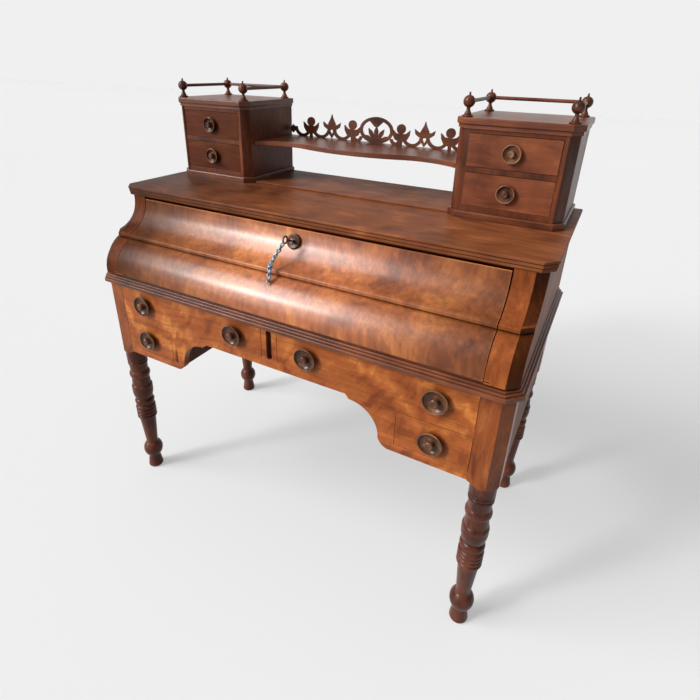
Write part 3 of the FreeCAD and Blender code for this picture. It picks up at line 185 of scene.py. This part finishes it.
# Where each effect on the wood sets in, as values of its texture or as metres, and what it does.
LINE_RANGE = (0.33, 0.67)
LINE_DARKENS = 0.5
LINE_LIGHTENS = 0.28
PORE_RANGE = (0.28, 0.42)
PORE_TONE = 0.45
# Convex edges lightened in patches: partly worn edges, partly a painted highlight.
WEAR_AND_HIGHLIGHT_REACH = 0.003
WEAR_AND_HIGHLIGHT_SAMPLES = 4
WEAR_AND_HIGHLIGHT_RANGE = (0.35, 0.75)
WEAR_AND_HIGHLIGHT_PATCHES = (0.35, 0.6)
WEAR_AND_HIGHLIGHT_TONE = 1.5
WEAR_AND_HIGHLIGHT_BRIGHTEST = 0.9
# Painted shade with dirt: corners and recesses darkened by how enclosed they are.
SHADE_AND_GRIME_SAMPLES = 6
SHADE_AND_GRIME_RANGE = (0.30, 0.85)
SHADE_AND_GRIME_COLOUR = (0.030, 0.010, 0.004)
# A thin line of painted shade under each band of the top's edge, where its step throws shade.
CREASE_WIDTH = 0.0018
CREASE_CORE = 0.4
CREASE_SHADE_STRENGTH = 0.85
CREASE_SHADE_COLOUR = (0.018, 0.006, 0.003)
# Painted shade on the cants: faces turned neither to the front nor to the side are darkened between these
# values of their normal.
CANT_SHADE_BEGINS = (0.2, 0.3)
CANT_SHADE_ENDS = (0.9, 0.97)
POLISH_LEFT = 0.05
POLISH_RIGHT = 0.4
SHINE_PATCHES = (0.3, 0.7)
SHINE_LESS = 0.05
SHINE_MORE = 0.06
PORE_ROUGHNESS = 0.10
LINE_RELIEF = 0.35
WOOD_RELIEF = 0.00005

# Where a wood darkens towards its ends, on the object's X, and the shares that it keeps there.
Ends = namedtuple("Ends", "left_end left_full left_share right_full right_end right_share")
# A level on an axis of the object beyond which a wood has other tones.
Split = namedtuple("Split", "axis level softness")


def wood(name, tones, grain="X", seed=0.0, figure=0.5, cloud_scale=3.4, flame_scale=15.0, fan_scale=5.0,
         slant=0.0, feather=0.35, spread=0.13, streak=0.5, pore=0.3, wear_and_highlight=0.5, shade_and_grime=0.5, shade_and_grime_reach=0.014,
         shine=0.40, gloss=0.22, coat=0.0, coat_rough=0.22, coat_ior=1.5,
         other=None, split=None, ends=None, shaded_creases=(), cant_shade=1.0):
    """Polished wood: clouds and flames over long grain, pores, edges lightened by being worn and by a
    painted highlight, painted shade with dirt in the corners.

    Beyond a split the wood has the other tones. Where it has ends, it darkens towards them, and a coat
    of polish is worn away there. Painted shade lies as a thin dark line under each band ending at a crease
    level. Faces that point neither to the front nor to the side get painted shade: a set share of their
    colour.
    """
    material, g = new_material(name)
    coords = g.node("TexCoord").outputs["Object"]
    turned = g.node("Mapping", {"Vector": coords, "Location": tuple(seed * step for step in SEED_STEPS),
                                "Rotation": GRAIN_TURN[grain]}).outputs[0]
    bend = g.vector("SUBTRACT", g.node("TexNoise", {"Vector": turned, **BEND}).outputs["Color"],
                    (NOISE_MEAN, NOISE_MEAN, NOISE_MEAN))
    bent = g.vector("ADD", turned, g.vector("MULTIPLY", bend, BEND_REACH))
    slanted = g.node("Mapping", {"Vector": bent, "Rotation": (slant, slant, slant)}).outputs[0]
    clouds = g.noise(bent, cloud_scale, **CLOUDS)
    flame = g.noise(slanted, flame_scale, **FLAME)
    lines = g.noise(bent, **LINES)
    pores = g.noise(turned, **PORES)
    fan = g.node("TexWave", {"Vector": g.vector("MULTIPLY", slanted, FAN_STRETCH), "Scale": fan_scale,
                             **FAN}).outputs["Fac"]
    fan = g.span(fan, 0.0, 1.0, *FAN_RANGE)
    level = g.blend(clouds, g.blend(flame, fan, feather), figure)

    def toned(dark, mid, light):
        stops = [(NOISE_MEAN - spread, dark), (NOISE_MEAN, mid), (NOISE_MEAN + spread, light)]
        return g.ramp(level, stops, "EASE")

    dark, _, light = tones
    colour = toned(*tones)
    if split:
        beyond = g.span(g.along(coords, split.axis), split.level - split.softness,
                        split.level + split.softness)
        colour = g.mix(beyond, colour, toned(*other))
    polish = coat
    if ends:
        across = g.along(coords, "X")
        left = g.span(across, ends.left_end, ends.left_full, ends.left_share, 1.0)
        right = g.span(across, ends.right_full, ends.right_end, 1.0, ends.right_share)
        colour = g.scaled(colour, g.math("MULTIPLY", left, right))
        if coat:
            left = g.span(across, ends.left_end, ends.left_full, POLISH_LEFT * coat, coat)
            right = g.span(across, ends.right_full, ends.right_end, 1.0, POLISH_RIGHT)
            polish = g.math("MULTIPLY", left, right)
    # Painted shade on the cants: faces that turn from both front and side keep only a share of their
    # colour.
    if cant_shade < 1.0:
        facing = g.math("ABSOLUTE", g.along(g.node("TexCoord").outputs["Normal"], "X"))
        front = g.span(facing, *CANT_SHADE_BEGINS, 1.0, cant_shade)
        colour = g.scaled(colour, g.math("MAXIMUM", front, g.span(facing, *CANT_SHADE_ENDS, cant_shade, 1.0)))
    fleck = g.span(lines, *LINE_RANGE, 1.0 - LINE_DARKENS * streak, 1.0 + LINE_LIGHTENS * streak)
    colour = g.scaled(colour, fleck)
    pits = g.span(pores, *PORE_RANGE, 1.0, 0.0)
    colour = g.mix(g.math("MULTIPLY", pits, pore), colour, tuple(PORE_TONE * c for c in dark))
    # Convex edges lightened in patches: worn edges and a painted highlight.
    edge = g.node("AmbientOcclusion", {"Distance": WEAR_AND_HIGHLIGHT_REACH}, samples=WEAR_AND_HIGHLIGHT_SAMPLES, inside=True)
    worn_and_highlit = g.math("MULTIPLY", g.span(edge.outputs["AO"], *WEAR_AND_HIGHLIGHT_RANGE, wear_and_highlight, 0.0),
                    g.span(clouds, *WEAR_AND_HIGHLIGHT_PATCHES))
    colour = g.mix(worn_and_highlit, colour, tuple(min(WEAR_AND_HIGHLIGHT_TONE * c, WEAR_AND_HIGHLIGHT_BRIGHTEST) for c in light))
    # Painted shade with dirt: darker where the surface is enclosed, in corners and recesses.
    corner = g.node("AmbientOcclusion", {"Distance": shade_and_grime_reach}, samples=SHADE_AND_GRIME_SAMPLES)
    colour = g.mix(g.span(corner.outputs["AO"], *SHADE_AND_GRIME_RANGE, shade_and_grime, 0.0), colour, SHADE_AND_GRIME_COLOUR)
    # Painted shade: a thin dark line just under each crease level.
    for crease in shaded_creases:
        off = g.math("ABSOLUTE", g.math("SUBTRACT", g.along(coords, "Z"), crease - CREASE_WIDTH / 2))
        line = g.span(off, CREASE_CORE * CREASE_WIDTH, CREASE_WIDTH, CREASE_SHADE_STRENGTH, 0.0)
        colour = g.mix(line, colour, CREASE_SHADE_COLOUR)
    rough = g.math("ADD", g.span(clouds, *SHINE_PATCHES, shine - SHINE_LESS, shine + SHINE_MORE),
                   g.math("MULTIPLY", pits, PORE_ROUGHNESS))
    relief = g.math("SUBTRACT", g.math("MULTIPLY", lines, LINE_RELIEF), pits)
    finish_shader(g, colour, rough, relief, WOOD_RELIEF, {
        "Specular IOR Level": gloss, "Coat Weight": polish, "Coat Roughness": coat_rough,
        "Coat IOR": coat_ior})
    return material


# Metal: spots of patina, which is rougher than the bare metal.
SPOTS = {"scale": 140.0, "detail": 5.0, "roughness": 0.65}
PATINA_UNTIL = 0.36
BARE_FROM = 0.62
SPOT_RANGE = (0.3, 0.7)
PATINA_ROUGHER = 0.16
BARE_SMOOTHER = 0.04
METAL_RELIEF = 0.00005


def metal(name, colour, patina, rough):
    material, g = new_material(name)
    spots = g.noise(g.node("TexCoord").outputs["Object"], **SPOTS)
    tone = g.ramp(spots, [(PATINA_UNTIL, patina), (BARE_FROM, colour)])
    dull = g.span(spots, *SPOT_RANGE, rough + PATINA_ROUGHER, rough - BARE_SMOOTHER)
    finish_shader(g, tone, dull, spots, METAL_RELIEF, {"Metallic": 1.0})
    return material


# The studio: metres, and linear values of its greys.
BACKGROUND = 0.871
FLOOR_TONES = (0.84, 0.854)
FLOOR_HAZE_SCALE = 0.35
FLOOR_HAZE_RANGE = (0.3, 0.7)
FLOOR_BOUNCE = (0.22, 0.21, 0.20)
FLOOR_GLOW = 0.4
WALL_BOUNCE = 0.3
WORLD_LIGHT = 0.22
WHITE = (1.0, 1.0, 1.0, 1.0)
STAGE_LEFT, STAGE_RIGHT = -90, 60
FLOOR_NEAR, FLOOR_FAR = -60, 40
WALL_AT, WALL_TOP = 18, 14
FLOOR_STEPS = 8
WALL_STEPS = 4
# Name, strength, width in degrees and direction of each lamp.
LAMPS = (
    ("window_light", 1.9, 32, (0.60, 0.46, -0.65)),
    ("low_window_light", 1.6, 11, (0.58, 0.68, -0.44)),
    ("door_light", 0.6, 24, (0.56, 0.82, -0.12)),
    ("ceiling_light", 0.5, 80, (0.2, 0.2, -0.95)),
)


def grey(value):
    return (value, value, value)


def seen_directly(graph):
    """One for the rays that show the background as such, zero for those that only light the object."""
    path = graph.node("LightPath").outputs
    mirrored = graph.math("ADD", path["Is Glossy Ray"], path["Is Transmission Ray"])
    return graph.math("ADD", path["Is Camera Ray"], mirrored, clamp=True)


def sheet(name, corners, steps, material):
    """A flat stage piece: a grid between four corners, given in turn."""
    a, b, c, d = (Vector(corner) for corner in corners)
    points = [a.lerp(b, i / steps).lerp(d.lerp(c, i / steps), j / steps)
              for j in range(steps + 1) for i in range(steps + 1)]
    row = steps + 1
    faces = [(j * row + i, j * row + i + 1, (j + 1) * row + i + 1, (j + 1) * row + i)
             for j in range(steps) for i in range(steps)]
    mesh = bpy.data.meshes.new(name)
    mesh.from_pydata([tuple(point) for point in points], [], faces)
    mesh.materials.append(material)
    made = bpy.data.objects.new(name, mesh)
    scene.collection.objects.link(made)


def lamp(name, energy, softness, direction):
    data = bpy.data.lights.new(name, "SUN")
    data.energy = energy
    data.angle = math.radians(softness)
    made = bpy.data.objects.new(name, data)
    made.rotation_euler = Vector(direction).to_track_quat("-Z", "Y").to_euler()
    scene.collection.objects.link(made)


def floor_and_light():
    floor, g = new_material("studio_floor")
    haze = g.noise(g.node("TexCoord").outputs["Object"], FLOOR_HAZE_SCALE)
    pale = g.ramp(haze, [(at, grey(tone)) for at, tone in zip(FLOOR_HAZE_RANGE, FLOOR_TONES)])
    seen = seen_directly(g)
    matt = g.node("BsdfDiffuse", {"Color": g.mix(seen, FLOOR_BOUNCE, pale)})
    glow = g.node("Emission", {"Color": (*grey(BACKGROUND), 1.0), "Strength": 1.0})
    lifted = g.node("MixShader", {0: g.math("MULTIPLY", seen, FLOOR_GLOW), 1: matt.outputs[0],
                                  2: glow.outputs[0]})
    g.feed(g.node("OutputMaterial").inputs["Surface"], lifted.outputs[0])
    sheet("studio_floor", [(STAGE_LEFT, FLOOR_NEAR, 0), (STAGE_RIGHT, FLOOR_NEAR, 0),
                           (STAGE_RIGHT, FLOOR_FAR, 0), (STAGE_LEFT, FLOOR_FAR, 0)], FLOOR_STEPS, floor)

    wall, g = new_material("studio_wall")
    strength = g.span(seen_directly(g), 0.0, 1.0, WALL_BOUNCE, BACKGROUND)
    glow = g.node("Emission", {"Color": WHITE, "Strength": strength})
    g.feed(g.node("OutputMaterial").inputs["Surface"], glow.outputs[0])
    sheet("studio_wall", [(STAGE_LEFT, WALL_AT, 0), (STAGE_RIGHT, WALL_AT, 0),
                          (STAGE_RIGHT, WALL_AT, WALL_TOP), (STAGE_LEFT, WALL_AT, WALL_TOP)],
          WALL_STEPS, wall)

    for settings in LAMPS:
        lamp(*settings)

    world = bpy.data.worlds.new("studio")
    world.use_nodes = True
    scene.world = world
    w = Graph(world.node_tree)
    light = w.node("Background", {"Color": WHITE, "Strength": WORLD_LIGHT})
    w.feed(w.node("OutputWorld").inputs["Surface"], light.outputs[0])


place_camera()
floor_and_light()

# The woods' tones: dark, middle and light.
AMBER = ((0.22, 0.048, 0.011), (0.41, 0.108, 0.025), (0.65, 0.222, 0.052))
RUSSET = ((0.075, 0.017, 0.006), (0.20, 0.050, 0.016), (0.36, 0.098, 0.030))
SABLE = ((0.060, 0.015, 0.006), (0.145, 0.038, 0.014), (0.25, 0.072, 0.026))
UMBER = ((0.045, 0.012, 0.006), (0.115, 0.032, 0.014), (0.21, 0.066, 0.028))
PALE = ((0.29, 0.150, 0.064), (0.42, 0.240, 0.106), (0.53, 0.325, 0.152))
TOP = ((0.10, 0.028, 0.011), (0.25, 0.077, 0.028), (0.50, 0.170, 0.055))
UPPER_END = ((0.11, 0.026, 0.009), (0.26, 0.068, 0.019), (0.42, 0.120, 0.033))
LID = ((0.23, 0.052, 0.012), (0.46, 0.126, 0.030), (0.68, 0.220, 0.054))
PEDESTAL = ((0.10, 0.027, 0.012), (0.23, 0.066, 0.027), (0.37, 0.120, 0.046))
# A shaded copy of the pedestal tones: painted shade for the left pedestal's drawers.
SHADED_PEDESTAL = ((0.045, 0.010, 0.004), (0.105, 0.026, 0.009), (0.17, 0.046, 0.016))
CARCASE = ((0.055, 0.015, 0.006), (0.135, 0.036, 0.014), (0.24, 0.068, 0.024))
LEG = ((0.048, 0.013, 0.008), (0.122, 0.035, 0.019), (0.215, 0.068, 0.037))
POST = ((0.15, 0.032, 0.008), (0.32, 0.082, 0.021), (0.52, 0.165, 0.045))
KNOB = ((0.045, 0.016, 0.008), (0.125, 0.048, 0.023), (0.30, 0.140, 0.072))
BOARD = ((0.13, 0.058, 0.024), (0.22, 0.105, 0.045), (0.31, 0.160, 0.072))

# The levels where the bands of the top's edge end; lines of painted shade lie under them.
TOP_BANDS = (0.991, 0.982)
# Behind its front, a pedestal drawer is plain wood, and a leg's square post is toned like the drawers.
DRAWER_BACK = Split("Y", 0.0745, 0.001)
POST_FOOT = Split("Z", 0.487, 0.004)

materials = {
    "top": wood("top_wood", TOP, "X", 1.7, figure=0.6, cloud_scale=2.6, shine=0.44, gloss=0.12, spread=0.17,
                shade_and_grime=0.85, wear_and_highlight=0.95, shade_and_grime_reach=0.005, shaded_creases=TOP_BANDS,
                ends=Ends(-0.62, -0.05, 0.32, 0.70, 0.80, 1.0)),
    "long": wood("long_wood", SABLE, "X", 4.1, figure=0.45, shine=0.32, gloss=0.4, shade_and_grime=0.85,
                 shade_and_grime_reach=0.006, wear_and_highlight=0.85),
    "upright": wood("upright_wood", RUSSET, "Z", 6.3, gloss=0.05),
    # The upper ends' cants are darkened as painted shade.
    "end": wood("end_wood", UPPER_END, "Z", 6.3, gloss=0.05, shade_and_grime=0.7, cant_shade=0.35,
                ends=Ends(-0.60, -0.45, 0.35, 0.90, 1.0, 1.0)),
    "drawer": wood("drawer_veneer", AMBER, "X", 9.2, figure=0.65, cloud_scale=4.2, flame_scale=18.0,
                   slant=0.8, streak=0.55, spread=0.14, feather=0.5, fan_scale=6.5),
    "lid": wood("lid_veneer", LID, "Z", 2.4, figure=0.7, cloud_scale=2.6, flame_scale=14.0, streak=0.7,
                shine=0.42, gloss=0.08, coat=1.0, coat_rough=0.32, coat_ior=1.62, slant=0.5, spread=0.15,
                feather=0.55, pore=0.25, ends=Ends(-0.52, -0.06, 0.20, 0.15, 0.54, 0.40)),
    "pedestal": wood("pedestal_wood", PEDESTAL, "X", 7.7, figure=0.45, streak=0.3, other=PALE,
                     split=DRAWER_BACK),
    "shaded_pedestal": wood("shaded_pedestal_wood", SHADED_PEDESTAL, "X", 5.2, figure=0.4, gloss=0.12, other=PALE,
                          split=DRAWER_BACK),
    "carcase": wood("carcase_wood", CARCASE, "Z", 8.1, figure=0.4),
    "turned": wood("turned_wood", LEG, "Z", 3.3, figure=0.6, cloud_scale=9.0, shine=0.30, gloss=0.2,
                   shade_and_grime=0.7, shade_and_grime_reach=0.008, other=POST, split=POST_FOOT),
    "rail": wood("rail_wood", UMBER, "X", 3.9, figure=0.6, cloud_scale=9.0, shine=0.32, gloss=0.3),
    # The knobs' lightened rims are a painted highlight as well as worn wood.
    "knob": wood("knob_wood", KNOB, "Y", 5.9, cloud_scale=20.0, shine=0.28, gloss=0.3, shade_and_grime=0.95,
                 shade_and_grime_reach=0.010, wear_and_highlight=1.0),
    "fret": wood("fret_wood", UMBER, "X", 8.8, cloud_scale=8.0),
    "inside": wood("inside_wood", UMBER, "X", 2.2, figure=0.4, shine=0.5),
    "lining": wood("lining_wood", PALE, "Y", 0.6, figure=0.3, streak=0.9, shine=0.55, shade_and_grime=0.35,
                   feather=0.0),
    "board": wood("board_wood", BOARD, "X", 1.1, figure=0.35, streak=0.7, shine=0.58, gloss=0.1, shade_and_grime=0.6,
                  feather=0.0),
    "iron": metal("dark_iron", (0.20, 0.18, 0.165), (0.06, 0.045, 0.035), 0.42),
    "pivot": metal("aged_brass", (0.060, 0.042, 0.018), (0.022, 0.015, 0.008), 0.60),
}

# The finish of each CAD node, and the width in millimetres to which its sharp edges are eased.
FINISH = {
    "desk_top": ("top", 1.2),
    "front_rails": ("drawer", 0.8), "waist_moulding": ("long", 0.8), "pedestal_plinths": ("long", 0.8),
    "pedestal_cornices": ("long", 0.8), "shelf": ("long", 1.0), "gallery_base": ("top", 0.8),
    "centre_stile": ("drawer", 0.6), "knee_brackets": ("drawer", 0.8),
    "side_panels": ("upright", 0.8), "left_upper_end": ("end", 1.0), "right_upper_end": ("end", 1.0),
    "lid_facing": ("lid", 0.8), "lid_panel": ("long", 0.8), "keeper_rail": ("upright", 0.8),
    "left_pedestal_case": ("carcase", 0.8), "right_pedestal_case": ("carcase", 0.8),
    "fret_gallery": ("fret", 0.7), "gallery_posts": ("rail", 0), "gallery_rails": ("rail", 0),
    "escutcheon": ("knob", 0), "key": ("iron", 0), "lock_case": ("iron", 0.4), "lock_bolt": ("iron", 0.4),
    "lid_pivots": ("pivot", 0), "pivot_bushes": ("pivot", 0), "writing_bed": ("long", 0.8),
    "lower_back_panel": ("board", 0.6), "upper_back_panel": ("board", 0.6),
    "pigeonholes": ("carcase", 0.6), "loper": ("inside", 0.6), "kneehole_walls": ("inside", 0.6),
    "drawer_runners": ("inside", 0.6), "dust_board": ("inside", 0.6), "loper_guide": ("inside", 0.6),
}
for corner in ("front_left", "front_right", "rear_left", "rear_right"):
    FINISH[corner + "_leg"] = ("turned", 0)
# The left pedestal's drawers take the shaded copy of the pedestal wood, as painted shade.
for side, pedestal in (("left", "shaded_pedestal"), ("right", "pedestal")):
    for kind in ("wide", "small"):
        FINISH[f"{side}_{kind}_drawer_front"] = ("drawer", 0.8)
        FINISH[f"{side}_{kind}_drawer_knobs"] = ("knob", 0)
    for level in ("lower", "upper"):
        FINISH[f"{side}_{level}_pedestal_drawer"] = (pedestal, 0.8)
        FINISH[f"{side}_{level}_pedestal_drawer_knob"] = ("knob", 0)
OTHER_FINISH = ("lining", 0.6)

MILLIMETRES_PER_METRE = 1000
WELD_REACH = 1e-5
EASE_SEGMENTS = 2
NORMAL_WEIGHT = 80
SHARP_ANGLE = 35
# The upper ends have blunter edges that are eased too.
BLUNT_ANGLE = 14


def dress(node, finish, bevel, sharp):
    """Gives a CAD node its material, and eases edges sharper than an angle by a bevel in millimetres."""
    for slot in node.material_slots:
        slot.material = materials[finish]
    if not bevel:
        return
    weld = node.modifiers.new("weld", "WELD")
    weld.merge_threshold = WELD_REACH
    ease = node.modifiers.new("ease", "BEVEL")
    ease.width = bevel / MILLIMETRES_PER_METRE
    ease.segments = EASE_SEGMENTS
    ease.limit_method = "ANGLE"
    ease.angle_limit = math.radians(sharp)
    ease.use_clamp_overlap = True
    even = node.modifiers.new("even", "WEIGHTED_NORMAL")
    even.keep_sharp = False
    even.weight = NORMAL_WEIGHT


for name, node in nodes.items():
    finish, bevel = FINISH.get(name, OTHER_FINISH)
    dress(node, finish, bevel, BLUNT_ANGLE if name.endswith("upper_end") else SHARP_ANGLE)

# The key's cord: the route of the part's source, as control points in metres.
CORD_ROUTE = [
    (0.0, -0.2215, 0.9399),
    (-0.0105, -0.2363, 0.9158),
    (-0.020, -0.250, 0.890),
    (-0.0175, -0.259, 0.870),
    (-0.0135, -0.268, 0.8515),
]
ROUTE_ORDER = 3
ROUTE_RESOLUTION = 24
# Its strands, in metres: they wind a little wider and closer on their way.
STRANDS = 2
STRAND_RADIUS = 0.0025
STRAND_PITCH = 0.034
STRAND_SWAY = 0.0006
STRAND_SWAY_RATE = 9
STRAND_SIDES = 10
PLY_TURNS_PER_METRE = 90.0
CORD_RADIUS = 0.0052
# The knot, in metres: a strand wrapped round the cord at a share of its length.
KNOT_SHARE = 0.55
KNOT_TURNS = 2.25
KNOT_STEPS = 72
KNOT_HALF_LENGTH = 0.0042
KNOT_SLANT = 0.0016
KNOT_REACH = 0.0042
KNOT_BULGE = 0.0008
KNOT_BULGE_RATE = 1.5
KNOT_RADIUS = 0.0022


def route_points(route):
    """Points along the NURBS spline whose control points are the route's."""
    curve = bpy.data.curves.new("route", "CURVE")
    curve.dimensions = "3D"
    spline = curve.splines.new("NURBS")
    spline.points.add(len(route) - 1)
    for point, place in zip(spline.points, route):
        point.co = (*place, 1.0)
    spline.order_u = ROUTE_ORDER
    spline.use_endpoint_u = True
    spline.resolution_u = ROUTE_RESOLUTION
    carrier = bpy.data.objects.new("route", curve)
    scene.collection.objects.link(carrier)
    bpy.context.view_layer.update()
    mesh = bpy.data.meshes.new_from_object(carrier)
    points = [v.co.copy() for v in mesh.vertices]
    bpy.data.objects.remove(carrier)
    bpy.data.meshes.remove(mesh)
    bpy.data.curves.remove(curve)
    return points


def frames_along(points):
    """A tangent and two normals at each point, turned as little as possible from one to the next."""
    tangents = []
    for i in range(len(points)):
        tangents.append((points[min(i + 1, len(points) - 1)] - points[max(i - 1, 0)]).normalized())
    side = tangents[0].orthogonal().normalized()
    result = []
    for tangent in tangents:
        side = (side - tangent * side.dot(tangent)).normalized()
        result.append((tangent, side, tangent.cross(side)))
    return result


def tube(vertices, faces, twists, points, radius):
    """Adds a tube with closed ends round the points; twists gets the ply's phase at each vertex."""
    start = len(vertices)
    sides = STRAND_SIDES
    run = 0.0
    for i, (point, (_, side, other)) in enumerate(zip(points, frames_along(points))):
        if i:
            run += (point - points[i - 1]).length
        for k in range(sides):
            angle = 2 * math.pi * k / sides
            vertices.append(point + side * (radius * math.cos(angle)) + other * (radius * math.sin(angle)))
            twists.append(run * PLY_TURNS_PER_METRE + k / sides)
    for i in range(len(points) - 1):
        for k in range(sides):
            a = start + i * sides + k
            b = start + i * sides + (k + 1) % sides
            faces.append((a, b, b + sides, a + sides))
    faces.append(tuple(start + k for k in reversed(range(sides))))
    last = start + (len(points) - 1) * sides
    faces.append(tuple(last + k for k in range(sides)))


def mesh_object(name, vertices, faces, material, body, twists):
    mesh = bpy.data.meshes.new(name)
    mesh.from_pydata([tuple(v) for v in vertices], [], faces)
    for polygon in mesh.polygons:
        polygon.use_smooth = True
    layer = mesh.attributes.new("ply", "FLOAT", "POINT")
    for item, value in zip(layer.data, twists):
        item.value = value
    mesh.materials.append(material)
    made = bpy.data.objects.new(name, mesh)
    scene.collection.objects.link(made)
    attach(made, body)
    return made


# Cotton yarn: its colours over a ply, the fibres and patches that break them up, and its relief.
YARN_TONES = [
    (0.10, (0.74, 0.80, 0.84)),
    (0.24, (0.42, 0.58, 0.70)),
    (0.36, (0.17, 0.33, 0.50)),
    (0.48, (0.035, 0.085, 0.17)),
]
HALF_TURN = 0.5
FIBRES = {"scale": 1500.0, "detail": 3.0, "roughness": 0.6}
FIBRE_RANGE = (0.35, 0.65)
FIBRE_STRENGTH = 0.3
FIBRE_COLOUR = (0.03, 0.06, 0.10)
PATCHES = {"scale": 210.0, "detail": 3.0, "roughness": 0.6}
PATCH_STRENGTH = 0.9
PLY_RELIEF = 2.0
YARN_RELIEF = 0.0005
YARN_ROUGHNESS = 0.9


def yarn(name):
    """Soft cotton in two blues and white, plied."""
    material, g = new_material(name)
    ply = g.node("Attribute", attribute_name="ply").outputs["Fac"]
    stripe = g.math("PINGPONG", ply, HALF_TURN)
    coords = g.node("TexCoord").outputs["Object"]
    fibre = g.noise(coords, **FIBRES)
    patch = g.math("SUBTRACT", g.noise(coords, **PATCHES), NOISE_MEAN)
    colour = g.ramp(g.math("ADD", stripe, g.math("MULTIPLY", patch, PATCH_STRENGTH)), YARN_TONES)
    colour = g.mix(g.span(fibre, *FIBRE_RANGE, FIBRE_STRENGTH, 0.0), colour, FIBRE_COLOUR)
    relief = g.math("ADD", g.math("MULTIPLY", stripe, PLY_RELIEF), fibre)
    finish_shader(g, colour, YARN_ROUGHNESS, relief, YARN_RELIEF,
                  {"Specular IOR Level": 0.15, "Sheen Weight": 0.4})
    return material


def twisted(centre, reach):
    """The strands, wound round a line of points; reach is a function of the share of the line run."""
    ring = frames_along(centre)
    runs = [0.0]
    for before, after in zip(centre, centre[1:]):
        runs.append(runs[-1] + (after - before).length)
    vertices, faces, twists = [], [], []
    for strand in range(STRANDS):
        path = []
        for point, (_, side, other), run in zip(centre, ring, runs):
            angle = 2 * math.pi * (strand / STRANDS + run / STRAND_PITCH)
            out = reach(run / runs[-1])
            path.append(point + side * (out * math.cos(angle)) + other * (out * math.sin(angle)))
        tube(vertices, faces, twists, path, STRAND_RADIUS)
    return vertices, faces, twists, runs[-1]


def strand_reach(share):
    return CORD_RADIUS - STRAND_RADIUS + STRAND_SWAY * math.sin(STRAND_SWAY_RATE * share)


def key_cord():
    """A cord of two strands that hangs from the key, with a knot just below its middle."""
    centre = route_points(CORD_ROUTE)
    cotton = yarn("cord_yarn")
    vertices, faces, twists, length = twisted(centre, strand_reach)
    cord = mesh_object("key_cord_strands", vertices, faces, cotton, "key_cord", twists)
    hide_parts("key_cord")

    at = int(KNOT_SHARE * (len(centre) - 1))
    _, side, other = frames_along(centre)[at]
    ahead = side.cross(other)
    wrap = []
    for step in range(KNOT_STEPS + 1):
        turn = KNOT_TURNS * 2 * math.pi * step / KNOT_STEPS
        rise = KNOT_HALF_LENGTH * (step / (KNOT_STEPS / 2) - 1) + KNOT_SLANT * math.sin(turn)
        out = KNOT_REACH + KNOT_BULGE * math.cos(KNOT_BULGE_RATE * turn)
        wrap.append(centre[at] + ahead * rise
                    + side * (out * math.cos(turn)) + other * (out * math.sin(turn)))
    vertices, faces, twists = [], [], []
    tube(vertices, faces, twists, wrap, KNOT_RADIUS)
    knot = mesh_object("key_cord_knot", vertices, faces, cotton, "key_cord", twists)


key_cord()
